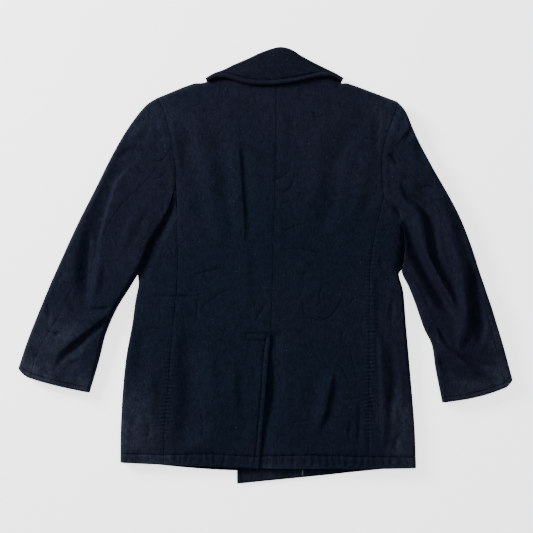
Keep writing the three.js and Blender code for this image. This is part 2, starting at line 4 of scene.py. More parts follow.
import bmesh
import bpy
import numpy as np
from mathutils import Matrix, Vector

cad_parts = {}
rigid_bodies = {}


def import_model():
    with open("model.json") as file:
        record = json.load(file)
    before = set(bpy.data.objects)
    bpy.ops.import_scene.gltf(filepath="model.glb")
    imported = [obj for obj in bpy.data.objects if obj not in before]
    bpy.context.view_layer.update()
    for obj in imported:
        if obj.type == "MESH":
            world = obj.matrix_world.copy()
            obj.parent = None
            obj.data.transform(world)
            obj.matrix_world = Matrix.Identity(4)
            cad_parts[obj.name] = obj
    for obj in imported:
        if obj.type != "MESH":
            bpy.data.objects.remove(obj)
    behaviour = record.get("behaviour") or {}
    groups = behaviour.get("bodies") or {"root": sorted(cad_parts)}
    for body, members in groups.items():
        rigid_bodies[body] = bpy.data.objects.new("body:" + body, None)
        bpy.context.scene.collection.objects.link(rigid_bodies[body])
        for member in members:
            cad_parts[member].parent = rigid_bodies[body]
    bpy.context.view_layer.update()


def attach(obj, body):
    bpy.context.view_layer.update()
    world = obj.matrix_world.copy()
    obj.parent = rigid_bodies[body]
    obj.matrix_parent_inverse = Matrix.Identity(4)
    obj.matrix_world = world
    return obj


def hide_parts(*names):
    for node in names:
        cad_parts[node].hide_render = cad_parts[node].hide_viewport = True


# A navy wool pea coat that lies on its front, back up. Sizes are in millimetres until a mesh is made:
# x to the right, y from the hem to the collar, z up from the surface. Left and right are the wearer's.

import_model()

MM = 0.001

# Cloth
WALL = 3.0
FACING_WALL = 2.0
SEAM_OVERLAP = 0.3
LAYER_GAP = 0.4
LAYER_STEP = WALL + LAYER_GAP
EDGE_ROUND = 0.8
EDGE_TIGHTNESS = 0.6
EDGE_ANGLE = 55.0
SEAM_PRESS = 0.7
SEAM_PRESS_REACH = 6.0
CENTRE_PRESS = 0.5

# Lines that the wool's material draws, told to it as distances in millimetres.
MARK_NEAR = 4.5
FAR = 99.0
CREASE_LEVEL = 12.0

# Heights over the surface: above the lower layer, and from nowhere to everywhere on the upper one
OFF_SURFACE = 0.5
SIDE_VISIBLE = (6, 16)
SLEEVE_VISIBLE = (5, 16)

# Folds at the edges, seen from above
SHOULDER_REACH = 12.0
SIDE_REACH = 14.0
COLLAR_REACH = 9.0
COLLAR_REACH_SHARE = 0.75
SIDE_REACH_END = 0.3

# Rows of the solids' mesh, which the stations below are counted in
SIDE_ROWS = 18
ARMHOLE_ROWS = 8
BODY_ROWS = SIDE_ROWS + ARMHOLE_ROWS
VENT_ROWS = 9
UNDERLAP_ROWS = 8
FRONT_COLUMNS = 8

# Mesh density of what shows and of what is hidden
FINE_STEP = 2.5
PLAIN_STEP = 9.0
FACING_STEP = 3.0
LAPEL_STEP = 8.0
MIDDLE_LEVEL = 14.0
COLLAR_MIDDLE_LEVEL = 18.0
FOLD_STEPS = 14
CURVE_STEPS = 400
SIDE_SAMPLES = 800
FRONT_STEPS = 110
FRONT_HEM_STEPS = 41
FRONT_HEM_SHARE = 0.12
COLLAR_STEPS = 150
COLLAR_ACROSS_STEPS = 34
COLLAR_UNDER_STEPS = 14
STAND_STEPS = 60
COLLAR_END_STEPS = 30

# Stitching and what it does to the cloth
FACING_STITCH = 6.0
TOPSTITCH = 10.0
TOPSTITCH_WIDTH = 2.2
TOPSTITCH_PUFF = 3.0
HEM_GROOVE = 1.3
HEM_GROOVE_WIDTH = 2.4
HEM_ROLL = 0.4
HEM_ROLL_PLACE = 6.0
HEM_ROLL_WIDTH = 4.0
PUCKER_LEAN = 0.12
FRONT_PUCKER = 0.55
FRONT_PUCKER_LEAST = -0.2
FRONT_PUCKER_START = (1, 7)
FRONT_PUCKER_END = (26, 40)
SEAM_PRESS_SHARPNESS = 3.0

# Wool: its colours, its noises as scale, detail and roughness, and how strongly each part shows
DEEP_BLUE = (0.0041, 0.0071, 0.0138, 1)
PLUM_BLUE = (0.0070, 0.0080, 0.0163, 1)
PALE_DUST = (0.030, 0.037, 0.053, 1)
LINT = (0.085, 0.100, 0.120, 1)
# Painted shade: the dark colour of the seams, the stitch rows and the creases, and of the darker spots at the
# collar and under the arms
PAINTED_SHADE_DARK = (0.0008, 0.0012, 0.0022, 1)
PALE_THREAD = (0.13, 0.15, 0.18, 1)
NOISES = {
    "cloud": (4.5, 2.0, 0.5),
    "patch": (26.0, 4.0, 0.6),
    "dust": (48.0, 5.0, 0.65),
    "mottle": (75.0, 4.0, 0.6),
    "felt": (110.0, 3.0, 0.6),
    "grain": (420.0, 3.0, 0.75),
    "fibre": (900.0, 3.0, 0.75),
    "dashes": (300.0, 1.0, 0.5),
    "wobble": (30.0, 2.0, 0.5),
}
NAP = (260.0, 3.0, 0.7)
NAP_STRETCH = (1.0, 0.35, 1.0)
GRAIN_TONE = (0.70, 1.40)
NAP_TONE = (-0.22, 0.26)
MOTTLE_TONE = (0.92, 1.09)
WOOL_ROUGHNESS = (0.86, 0.98)
WOOL_SHEEN = {
    "Specular IOR Level": 0.015,
    "Sheen Weight": 0.015,
    "Sheen Roughness": 0.45,
    "Sheen Tint": (0.55, 0.68, 1.0, 1),
}
BUMP_STRENGTH = 0.8
BUMP_DISTANCE = 0.0009
PATCH_SHARE = 0.22
MIDDLE_SHARE = 0.36
DUST_SHARE = 0.7

# Lint as the cells' scale, their shift and a speck's size in its cell
LINT_LAYERS = ((190.0, 0.0, 0.16), (80.0, 3.1, 0.07))
LINT_RARE = 0.93
LINT_SHARE = 0.75

# Drawn lines: reach in mm, the painted shade in their grooves and their depth, and the gathered ridges
SEAM_LINE = 1.5
STITCH_LINE = 1.6
CREASE_LINE = 2.2
SEAM_PAINTED_SHADE = 0.30
STITCH_PAINTED_SHADE = 0.7
CREASE_PAINTED_SHADE = 0.26
LINE_DEPTH = 1.4
RUNGS_PER_METRE = 800.0
RUNG_RISE = 0.7
RUNG_WOBBLE = 9.0

# Soft spots in metres: middle and size, and for the painted-shade spots and the dusty ones their strength
MIDDLE_PLACE = ((0.02, -0.07), (0.40, 0.47))
THREAD_END = ((0.0745, -0.415), (0.0024, 0.008))
# Painted shade: a darker collar and darker places under both arms
PAINTED_SHADE_PLACES = [
    ((0.018, 0.405), (0.230, 0.062), 0.32),
    ((-0.225, 0.055), (0.030, 0.105), 0.26),
    ((0.266, 0.030), (0.026, 0.070), 0.25),
]
DUSTY_PLACES = [
    ((-0.470, -0.215), (0.075, 0.055), 0.85),
    ((-0.420, -0.150), (0.080, 0.080), 0.45),
    ((-0.370, -0.250), (0.060, 0.060), 0.55),
    ((0.485, -0.215), (0.060, 0.060), 0.90),
    ((0.420, -0.255), (0.080, 0.060), 0.50),
    ((0.462, -0.135), (0.032, 0.062), 0.50),
    ((-0.270, -0.330), (0.075, 0.130), 0.50),
    ((-0.225, -0.395), (0.090, 0.040), 0.45),
    ((0.285, -0.340), (0.060, 0.130), 0.45),
    ((0.262, -0.295), (0.036, 0.036), 0.45),
    ((0.040, -0.420), (0.120, 0.040), 0.30),
    ((-0.250, 0.300), (0.120, 0.080), 0.25),
    ((0.270, 0.310), (0.100, 0.080), 0.25),
]

# Buttons, floor and light
BUTTON_BLACK = (0.006, 0.007, 0.010, 1)
PAPER = (0.93, 0.93, 0.93, 1)
FLOOR_GLOW = 2.1
FLOOR_HALF = 30.0
FLOOR_DROP = 0.0004
SKY = (0.95, 0.97, 1.0, 1)
SKY_STRENGTH = 0.22
LIGHTS = {
    "key": {"place": (-2.3, 1.5, 1.55), "size": (1.1, 1.0), "power": 204, "colour": (1.0, 0.98, 0.95)},
    "fill": {"place": (0.3, 0.5, 3.4), "size": (2.4, 2.4), "power": 52, "colour": (0.95, 0.97, 1.0)},
}

# Sleeves: sizes that set the mesh's rows, the ridge at the head and how faint the hind-arm seam is
SLEEVE_LENGTH = 610.0
SLEEVE_WIDTH = 105.0
SLEEVE_HEAD = 1.1
SLEEVE_HEAD_PLACE = 13.0
SLEEVE_HEAD_WIDTH = 8.0
SLEEVE_PRESS = 0.45
CUFF_STITCH_DEPTH = 0.7
CUFF_PUFF = 0.5
SLEEVE_SEAM_FAINT = 0.5
ARMPIT_FADE = (0.17, 0.25)

# A side panel below a sleeve: the height that it has elsewhere, and how far in it is carried outwards
DIP_FULL_HEIGHT = 30.0
DIP_REACH = 18.0

# Vent: the hollow of the underlap, the lift of the flap's edge, and the stitched bar at its top
VENT_HOLLOW = {"depth": 5.4, "level": -246, "length": 52, "inside": 14, "width": 15}
VENT_LIFT = {"height": 3.2, "level": -250, "length": 62, "width": 34}
VENT_FINISH_ENDS = (-404, -372)
VENT_STITCH_LENGTH = 262.0
BAR = [(9, -134.5), (-36, -133.8), (-38, -135.5), (-38.5, -145), (-37, -147), (-1, -148.5)]
BAR_DEPTH = 1.2
BAR_WIDTH = 2.4
VENT_STITCH_DEPTH = 1.5
VENT_PUFF = 0.8
CENTRE_FAINT = 0.9
CENTRE_FAINT_ENDS = (-60, 180)

# Collar's fall: how it lifts off the back, and the welt that its edge stitching makes
COLLAR_LIFT = 3.4
COLLAR_FOLD_SHARE = 0.4
COLLAR_FADE = 0.25
WELT_RISE = 3.2
WELT_START = (0, 3)
WELT_FLAT = 4.0
WELT_GROOVE = 1.8
WELT_GROOVE_PLACE = 1.0
WELT_LEAST_WIDTH = 18.0
WELT_FULL_WIDTH = 40.0
COLLAR_RUMPLE = 0.7
COLLAR_RUMPLE_SCALE = 1.6

# The photograph's frame, its scale and the lens of a camera that looks straight down.
PHOTO_PIXELS = 533
MM_PER_PIXEL = 1.994
CAMERA_HEIGHT = 2600.0
CAMERA_SHIFT = (2.0, -1.0)
SENSOR_WIDTH = 36.0
CLOTH_LEVEL = 24.0


# Camera

def new_object(name, data):
    made = bpy.data.objects.new(name, data)
    bpy.context.scene.collection.objects.link(made)
    return made


def mesh_object(name, mesh):
    data = bpy.data.meshes.new(name)
    mesh.to_mesh(data)
    mesh.free()
    return new_object(name, data)


def add_camera():
    width = PHOTO_PIXELS * MM_PER_PIXEL
    camera = new_object("camera", bpy.data.cameras.new("camera"))
    camera.data.sensor_width = SENSOR_WIDTH
    camera.data.lens = SENSOR_WIDTH * (CAMERA_HEIGHT - CLOTH_LEVEL) / width
    camera.data.clip_end = 50.0
    camera.location = (CAMERA_SHIFT[0] * MM, CAMERA_SHIFT[1] * MM, CAMERA_HEIGHT * MM)
    bpy.context.scene.camera = camera


add_camera()


# Tables of the coat's shape

def table(columns, rows):
    names = columns.split()
    return {name: np.array([row[i] for row in rows], float) for i, name in enumerate(names)}


BODY_HEIGHT = table("y height", [
    (-440, 21), (-400, 21), (-300, 22), (-120, 25), (0, 26), (150, 30), (300, 33), (440, 33),
])
FLAP_EDGE = table("y x", [
    (-404, -13), (-366, -9), (-281, -1), (-209, 4), (-169, 7), (-146, 11), (-133, 11),
])
CENTRE_SEAM = table("y x", [
    (-133, 11), (-103, 12), (-9, 15), (65, 16), (197, 20), (381, 22),
])
VENT_TOP = -133.0
VENT_LAP = 44.0
VENT_CLEARANCE = 4.0
VENT_RISE = 26.0
NECK_LEVEL = 381.0
CENTRE_ROWS = np.array([
    -404, -366, -328, -291, -254, -218, -184, -158, -142, -131,
    -90, -52, -14, 18, 48, 78, 106, 130, 152,
], float)

FRONTS = {
    "left": {"hem": (80, -411), "break": (80, 150), "neck": (-65, 384), "bow": 7.0},
    "right": {"hem": (-57, -437.3), "break": (-61, 150), "neck": (109, 383), "bow": 0.0},
}
STEP_OVER = {"full": 124, "none": 170, "top": 285, "end": 340}
BUTTON_RISE = {"hem_end": -250, "full": -90}
FACING = ((-54, -434), (75, -421), (-58, -262), (75, -262))

# The body's halves. under_sleeve is where the sleeve lies over the side panel: the shares of its rows
# where the dip starts, is full, lessens and ends, the height that is left at the edge, the dip's reach
# into the body and how far the panel goes on below the sleeve.
HALVES = {
    "left": {
        "armhole": [
            (-217, 336), (-207, 319), (-201, 303), (-192, 274), (-188, 254), (-185, 231),
            (-180, 205), (-178, 185), (-178, 160),
        ],
        "seam_share": 0.53,
        "under_sleeve": {"rows": (0.01, 0.08, 0.33, 0.41), "height": 22.0, "reach": 24.0, "below": 13.0},
        "shoulder": [(-217, 336), (-149, 363), (-122, 367), (-65, 384)],
        "side": table("seam_x seam_y edge_x edge_y", [
            (-178, 160, -186, 143),
            (-176, 114, -189, 108),
            (-176, 57, -219, 55),
            (-175, 0, -243, 0),
            (-178, -60, -259, -62),
            (-184, -115, -267, -117),
            (-190, -180, -279, -182),
            (-195, -250, -286, -250),
            (-202, -323, -290, -320),
            (-203, -397, -291, -393),
        ]),
        "sleeve": table("outer_x outer_y seam_x seam_y inner_x inner_y height reach", [
            (-217, 336, -186, 233, -186, 143, 33, 12),
            (-243, 317, -204, 211, -188, 131, 33, 12),
            (-279, 269, -232, 174, -193, 108, 34, 14),
            (-313, 209, -262, 146, -206, 80, 34, 16),
            (-343, 149, -296, 108, -226, 47, 34, 18),
            (-373, 89, -325, 54, -247, -2, 34, 18),
            (-401, 29, -343, -3, -271, -43, 33, 18),
            (-428, -31, -386, -48, -297, -85, 32, 18),
            (-453, -91, -414, -103, -319, -135, 30, 16),
            (-477, -151, -452, -158, -333, -189, 26, 14),
            (-495, -204, -471, -212, -352, -253, 22, 12),
        ]),
    },
    "right": {
        "armhole": [
            (263, 329), (260, 311), (251, 286), (243, 263), (237, 243), (233, 226),
            (232, 201), (233, 171), (236, 138),
        ],
        "seam_share": 0.33,
        "under_sleeve": {"rows": (0.01, 0.06, 0.27, 0.34), "height": 19.0, "reach": 16.0, "below": 8.0},
        "shoulder": [(263, 329), (171, 363), (150, 366), (109, 383)],
        "side": table("seam_x seam_y edge_x edge_y", [
            (236, 138, 276, 81),
            (228, 104, 276, 50),
            (217, 55, 272, 13),
            (209, 0, 267, -16),
            (208, -55, 276, -52),
            (207, -115, 281, -112),
            (207, -180, 287, -180),
            (207, -250, 293, -248),
            (206, -325, 299, -325),
            (206, -406, 302, -404),
        ]),
        "sleeve": table("outer_x outer_y seam_x seam_y inner_x inner_y height reach", [
            (263, 329, 238, 246, 276, 81, 33, 12),
            (281, 307, 258, 226, 279, 67, 33, 12),
            (299, 265, 281, 193, 280, 45, 34, 14),
            (325, 213, 311, 156, 276, 13, 34, 16),
            (357, 157, 339, 120, 273, -13, 34, 17),
            (387, 101, 363, 67, 287, -43, 34, 17),
            (409, 47, 390, 25, 301, -79, 33, 16),
            (431, -19, 418, -31, 317, -125, 32, 13),
            (453, -85, 440, -93, 333, -159, 30, 12),
            (475, -155, 461, -161, 341, -209, 26, 12),
            (495, -227, 481, -232, 354, -273, 22, 12),
        ]),
    },
}
CUFF_BOW = 12.0
SIDE_UNDER = 30.0
ARMHOLE_FADE = 0.35
CUFF_FADE = 0.75

COLLAR = table("outer_x outer_y edge_x edge_y", [
    (-120, 375, -116, 367),
    (-103, 385, -99, 374),
    (-84, 392, -78, 373),
    (-61, 403, -58, 367),
    (-33, 415, -35, 361),
    (-7, 427, -10, 359),
    (26, 437, 20, 359),
    (50, 433, 45, 362),
    (73, 419, 68, 366),
    (95, 407, 90, 371),
    (117, 396, 110, 375),
    (140, 385, 135, 376),
    (156, 375, 151, 367),
])
COLLAR_TOP = 31.0
COLLAR_LOW = 13.0
COLLAR_MID = (COLLAR_TOP + COLLAR_LOW) / 2
COLLAR_WELT = 10.0
STAND_SHARES = (0.29, 0.76)
STAND_END = 377.0
COLLAR_ENDS = {
    "left": {"from": 0.0, "to": 0.24, "point": (-150, 310), "inner": (-72, 352)},
    "right": {"from": 1.0, "to": 0.84, "point": (186, 310), "inner": (118, 352)},
}
LAPELS = {
    "left": {"roll": ((22, 236), (-56, 366)), "edge": ((17, 233), (-128, 272))},
    "right": {"roll": ((26, 236), (101, 366)), "edge": ((31, 233), (172, 272))},
}

# Folds: height over the plain surface, reach to the left and to the right of the line as one goes
# along it, and the line. A short reach on one side makes a fold's steep face.
FOLDS = [
    # back, upper part
    (2.5, 6, 34, [(-56, 268), (-54, 241), (-49, 161), (-45, 111), (-42, 56), (-40, 22)]),
    (1.8, 16, 24, [(-40, 60), (-38, 0), (-36, -50), (-38, -112)]),
    (-2.4, 26, 8, [(-46, 262), (-44, 241), (-39, 161), (-35, 111), (-30, 41)]),
    (2.7, 30, 26, [(-142, 318), (-136, 286), (-121, 231), (-113, 181), (-103, 126), (-90, 71), (-84, 30)]),
    (-2.9, 24, 26, [(-160, 300), (-156, 271), (-156, 231), (-144, 181), (-129, 126), (-117, 70)]),
    (-1.7, 20, 28, [(-92, 300), (-84, 241), (-76, 161), (-68, 100)]),
    (1.4, 14, 18, [(-192, 318), (-184, 280), (-178, 240), (-172, 205), (-166, 165)]),
    (-2.9, 28, 30, [(190, 300), (186, 286), (161, 246), (140, 200), (134, 161), (131, 121), (111, 71),
                   (104, 50)]),
    (1.7, 24, 24, [(126, 310), (116, 280), (101, 236), (101, 161), (84, 111)]),
    (1.9, 24, 24, [(206, 240), (201, 211), (190, 160), (180, 110), (166, 70)]),
    (-3.0, 8, 20, [(228, 318), (226, 280), (222, 240), (226, 200)]),
    (-1.2, 12, 14, [(206, 150), (205, 130), (208, 110)]),
    (2.0, 20, 20, [(28, 330), (34, 270), (30, 210)]),
    # back, left of the vent
    (-7.2, 52, 34, [(-156, -120), (-152, -200), (-150, -259), (-154, -309), (-166, -352), (-172, -372)]),
    (-1.6, 14, 20, [(-94, -170), (-92, -230), (-90, -280)]),
    (2.0, 14, 16, [(-64, -180), (-62, -240), (-58, -300)]),
    (-1.6, 16, 18, [(-50, -190), (-46, -250), (-42, -320), (-50, -356)]),
    # back, right of the vent
    (5.8, 11, 28, [(137, -196), (134, -214), (127, -244), (120, -279), (108, -319), (101, -344)]),
    (-2.0, 22, 10, [(146, -215), (139, -250), (130, -290), (120, -330)]),
    (-2.2, 12, 12, [(36, -200), (30, -250), (40, -300)]),
    (-3.0, 8, 12, [(183, -262), (190, -300), (188, -340), (184, -372)]),
    (-2.0, 6, 8, [(172, -300), (169, -330), (168, -350)]),
    (-2.8, 7, 9, [(210, -255), (217, -290), (222, -318)]),
    (2.4, 14, 26, [(214, -10), (212, -80), (214, -150), (216, -220)]),
    (1.8, 22, 22, [(70, -196), (76, -240), (68, -288)]),
    # right side
    (5.0, 20, 8, [(222, -118), (228, -160), (231, -200), (233, -240), (234, -289), (235, -339), (232, -372)]),
    (-3.2, 12, 14, [(246, -140), (255, -180), (259, -235), (252, -280), (250, -330)]),
    (2.6, 14, 12, [(268, -200), (272, -260), (270, -300)]),
    (-3.0, 8, 12, [(262, -276), (270, -300), (278, -330)]),
    (-2.6, 8, 8, [(226, 16), (231, 4), (238, -10)]),
    (-2.4, 8, 10, [(254, -56), (253, -90), (250, -124)]),
    (-2.4, 9, 9, [(272, -330), (262, -350), (262, -378)]),
    # left side
    (-2.2, 20, 16, [(-238, -110), (-247, -145), (-249, -189), (-252, -235)]),
    (2.4, 18, 20, [(-222, -180), (-226, -240), (-230, -320)]),
    (-2.2, 9, 9, [(-262, -300), (-268, -330), (-262, -356)]),
    (-1.8, 9, 9, [(-228, -300), (-234, -330), (-230, -362)]),
    # left sleeve
    (-9.0, 10, 38, [(-274, 206), (-281, 192), (-303, 168), (-316, 129), (-326, 94), (-335, 58), (-338, 31),
                   (-346, 4), (-350, -29), (-354, -72), (-356, -96)]),
    (-5.0, 12, 26, [(-350, 84), (-354, 30), (-358, -20), (-360, -76)]),
    (2.6, 42, 9, [(-272, 192), (-296, 160), (-306, 126), (-316, 92), (-324, 58), (-326, 30)]),
    (4.6, 16, 8, [(-327, 24), (-335, -22), (-339, -66)]),
    (-4.2, 9, 10, [(-364, -82), (-340, -88), (-318, -86), (-298, -78)]),
    (3.0, 12, 12, [(-426, -26), (-402, -66), (-386, -96), (-354, -107), (-320, -104)]),
    (3.8, 7, 40, [(-292, -77), (-322, -101), (-345, -119), (-370, -138), (-392, -156), (-410, -170),
                  (-428, -190)]),
    (-4.4, 15, 8, [(-290, -86), (-316, -109), (-338, -126), (-363, -145), (-384, -163), (-402, -179)]),
    (-7.0, 22, 13, [(-346, -134), (-372, -154), (-396, -176), (-414, -198), (-426, -218)]),
    (-4.5, 14, 14, [(-366, -182), (-388, -198), (-410, -206)]),
    (-2.6, 12, 14, [(-296, 204), (-290, 214), (-272, 228), (-252, 228), (-238, 218)]),
    (2.6, 18, 14, [(-236, 292), (-254, 266), (-274, 244)]),
    (-2.6, 16, 14, [(-232, 120), (-246, 80), (-262, 40)]),
    (2.4, 16, 14, [(-262, 110), (-276, 60), (-288, 14)]),
    (-2.6, 7, 9, [(-440, -56), (-430, -90), (-436, -125)]),
    (-3.0, 8, 8, [(-438, -126), (-420, -138), (-404, -128)]),
    (-2.2, 6, 7, [(-480, -158), (-462, -170), (-450, -188)]),
    (2.2, 7, 7, [(-470, -186), (-452, -192), (-440, -206)]),
    (-2.6, 14, 14, [(-392, 40), (-402, 0), (-414, -40)]),
    (-2.4, 9, 9, [(-222, 262), (-210, 254), (-200, 258)]),
    # right sleeve
    (7.0, 20, 16, [(262, 150), (284, 121), (301, 101), (310, 64), (320, 24), (338, -16), (358, -49),
                   (376, -82), (387, -108)]),
    (-10.5, 15, 18, [(266, 178), (271, 168), (284, 141), (308, 124), (328, 98), (334, 58), (338, 24),
                    (358, -16), (376, -49), (388, -84)]),
    (-18.0, 13, 27, [(275, 100), (284, 72), (299, 38), (320, -2), (341, -42), (361, -76), (383, -113)]),
    (2.4, 8, 8, [(280, -4), (303, -49), (325, -96), (344, -128)]),
    (8.6, 24, 20, [(306, 168), (331, 148), (352, 118), (368, 71), (380, 24), (392, -22), (397, -76),
                   (393, -129), (382, -178)]),
    (-12.0, 15, 27, [(404, 20), (413, -9), (421, -62), (428, -109), (430, -142), (420, -166)]),
    (3.6, 7, 8, [(438, -60), (448, -100), (460, -130)]),
    (-3.4, 6, 8, [(448, -72), (458, -104), (464, -132)]),
    (-4.0, 20, 12, [(294, 171), (311, 153), (338, 145), (361, 147)]),
    (2.8, 5, 16, [(279, 308), (281, 292), (282, 274), (272, 258), (258, 238)]),
    (-1.8, 12, 5, [(287, 304), (288, 288), (289, 272), (280, 252), (266, 232)]),
    (-5.2, 5, 6, [(236, 220), (251, 219), (263, 206), (274, 212)]),
    (4.0, 6, 12, [(244, 206), (258, 192), (270, 184), (284, 168)]),
    (-3.6, 5, 6, [(252, 124), (264, 110), (272, 94)]),
    (7.5, 10, 20, [(334, -114), (352, -148), (368, -170), (401, -199), (434, -226), (448, -234)]),
    (-6.5, 8, 8, [(340, -118), (357, -150), (374, -172)]),
    (-4.6, 12, 10, [(380, -170), (404, -184), (436, -200), (464, -198)]),
    (-5.4, 12, 15, [(346, -176), (356, -200), (378, -226)]),
    (2.6, 10, 10, [(380, -226), (410, -240), (440, -248)]),
    (-2.6, 12, 12, [(300, 262), (306, 226), (318, 196)]),
    (2.4, 12, 12, [(318, 230), (326, 200), (336, 176)]),
    (-2.6, 12, 12, [(368, 90), (384, 60), (396, 30)]),
]
FOLD_FADE = 0.4
FOLD_FADE_LENGTH = 55.0
FOLD_END_WIDTH = 0.5
LEAST_END = 0.1

# Creases that wear has pressed in: hardly deep, but sharp.
CREASE_DEPTH = 1.0
CREASE_REACH = 5.0
CREASES = [
    [(21, 61), (61, 79), (96, 89)],
    [(21, 34), (71, 34), (106, 26), (131, 36)],
    [(61, 196), (51, 158), (36, 146), (23, 133)],
    [(3, 166), (21, 171), (41, 183), (56, 198)],
    [(91, 318), (101, 298), (126, 292)],
    [(26, 118), (40, 127), (58, 122)],
    [(12, 250), (22, 232), (20, 212)],
    [(36, -16), (71, -16), (101, -11)],
    [(73, -56), (76, -89), (88, -106)],
    [(116, -36), (108, -58), (111, -72)],
    [(156, -36), (151, -69), (131, -99), (111, -109), (86, -104), (61, -104), (31, -94)],
    [(111, -109), (136, -129), (151, -141)],
    [(161, -54), (176, -64), (156, -86)],
    [(156, -120), (153, -138), (153, -156)],
    [(166, -146), (171, -179), (181, -219), (178, -252)],
    [(61, -154), (81, -159), (101, -179), (109, -196)],
    [(13, -177), (31, -194), (41, -210)],
    [(113, -187), (123, -199), (138, -212)],
    [(41, -314), (71, -311), (101, -306)],
    [(146, -269), (168, -266), (191, -264)],
    [(121, -160), (136, -189), (156, -209), (171, -249), (182, -266)],
    [(-161, -24), (-109, -9), (-72, -4)],
    [(-244, -49), (-209, -59), (-179, -61), (-139, -59), (-107, -51)],
    [(-131, -44), (-136, -69), (-137, -99), (-147, -124)],
    [(-139, -92), (-109, -69), (-89, -54), (-57, -43)],
    [(-177, -66), (-159, -89), (-134, -107), (-109, -124), (-79, -144)],
    [(-177, -64), (-164, -99), (-159, -139), (-153, -160)],
    [(-124, -287), (-106, -300), (-88, -320)],
    [(-137, -268), (-127, -309), (-127, -366)],
    [(8, -62), (-8, -90), (-26, -120)],
    [(-244, -130), (-226, -124), (-200, -128)],
    [(-262, 202), (-250, 190), (-236, 178)],
    [(-234, 174), (-212, 174), (-190, 196)],
    [(-238, 216), (-216, 208), (-198, 212)],
    [(300, 150), (320, 158), (340, 152)],
    [(-480, -176), (-468, -190), (-470, -204)],
    [(470, -150), (480, -176), (476, -196)],
]

# Hem: the band's stitch line over the edge, and the puckers that its stitches draw in.
HEM_STITCH_RISE = table("x rise", [
    (-291, 18), (-200, 20), (-110, 25), (-20, 23), (0, 25), (85, 27), (200, 25), (302, 22),
])
PUCKER_REACH = 3.2

# Side seams: y from and to where the stitches gather the cloth, on the left and on the right.
LADDER = ((-372, -150), (-372, 60))
LADDER_REACH = 11.0
LADDER_FADE = 60.0
PUCKERS = [
    (-253, 1.3), (-233, 1.5), (-195, 1.4), (-179, 1.8), (-167, 1.2), (-155, 1.9), (-147, 1.5), (-127, 1.8),
    (-115, 1.3), (-103, 1.7), (-81, 1.8), (-60, 1.0), (-34, 1.1), (6, 1.7), (23, 1.8), (37, 1.6), (57, 2.0),
    (83, 1.7), (97, 2.1), (111, 1.7), (125, 2.1), (137, 1.8), (149, 1.7), (165, 2.0), (183, 2.1), (197, 1.6),
    (219, 2.0), (225, 1.2), (237, 1.8), (253, 1.6), (270, 1.4), (286, 1.1),
]


# Curves and tables read at many places at once

def smooth(value, low, high):
    f = np.clip((np.asarray(value, float) - low) / (high - low), 0.0, 1.0)
    return f * f * (3.0 - 2.0 * f)


def spline(values, share):
    """Values on a smooth curve through evenly spaced ones."""
    last = len(values) - 1
    at = np.clip(share, 0.0, 1.0) * last
    i = np.minimum(at.astype(int), last - 1)
    f = at - i
    here, after = values[i], values[i + 1]
    before = np.where(i > 0, values[np.maximum(i - 1, 0)], 2 * here - after)
    beyond = np.where(i + 2 <= last, values[np.minimum(i + 2, last)], 2 * after - here)
    return 0.5 * (
        2 * here + (after - before) * f
        + (2 * before - 5 * here + 4 * after - beyond) * f ** 2
        + (3 * here - before - 3 * after + beyond) * f ** 3
    )


def row_at(rows, share):
    share = np.asarray(share, float)
    return {name: spline(values, share) for name, values in rows.items()}


def pair(row, name):
    return np.stack([row[f"{name}_x"], row[f"{name}_y"]], -1)


def read(rows, value, y):
    return np.interp(y, rows["y"], rows[value])


def bell(value, width):
    """1 where the value is 0, and down to nothing a few widths away."""
    return np.exp(-((value / width) ** 2))


def even(low, high, steps):
    return np.linspace(low, high, steps + 1)


def running_length(points):
    return np.concatenate([[0.0], np.cumsum(np.linalg.norm(np.diff(points, axis=0), axis=1))])


class Line:
    """A smooth line through points, read by its share of the length."""

    def __init__(self, points):
        points = np.array(points, float)
        at = even(0, 1, CURVE_STEPS)
        self.points = np.stack([spline(points[:, 0], at), spline(points[:, 1], at)], axis=1)
        self.run = running_length(self.points)
        self.length = self.run[-1]

    def at(self, share):
        distance = np.clip(share, 0, 1) * self.length
        x = np.interp(distance, self.run, self.points[:, 0])
        y = np.interp(distance, self.run, self.points[:, 1])
        return np.stack([x, y], axis=-1)


def mix(a, b, share):
    share = np.asarray(share, float)[..., None]
    return a * (1 - share) + b * share


def unit(way):
    return way / np.maximum(np.linalg.norm(way, axis=-1, keepdims=True), 1e-9)


def along_line(line, x, y):
    """Signed distance to a line, positive to its left, and the share of the line where it is met."""
    distance = np.full(x.shape, 1e9)
    share = np.zeros(x.shape)
    side = np.ones(x.shape)
    for i in range(len(line) - 1):
        a, b = line[i], line[i + 1]
        way = b - a
        f = np.clip(((x - a[0]) * way[0] + (y - a[1]) * way[1]) / (way @ way), 0, 1)
        off_x, off_y = x - a[0] - f * way[0], y - a[1] - f * way[1]
        d = np.hypot(off_x, off_y)
        near = d < distance
        distance = np.where(near, d, distance)
        share = np.where(near, (i + f) / (len(line) - 1), share)
        side = np.where(near, np.sign(way[0] * off_y - way[1] * off_x), side)
    return distance * side, share


def drawn(points):
    return Line(points).at(even(0, 1, 6 * (len(points) - 1)))


FOLD_LINES = [(height, left, right, drawn(points)) for height, left, right, points in FOLDS]
CREASE_LINES = [drawn(points) for points in CREASES]


def near_line(line, reach, x, y):
    low, high = line.min(axis=0) - reach, line.max(axis=0) + reach
    return (x > low[0]) & (x < high[0]) & (y > low[1]) & (y < high[1])


def line_ends(line, share):
    """1 along a fold's middle, and down to 0 at both its ends."""
    length = np.linalg.norm(np.diff(line, axis=0), axis=1).sum()
    fade = min(FOLD_FADE, FOLD_FADE_LENGTH / length)
    return smooth(share, 0, fade) * smooth(1 - share, 0, fade)


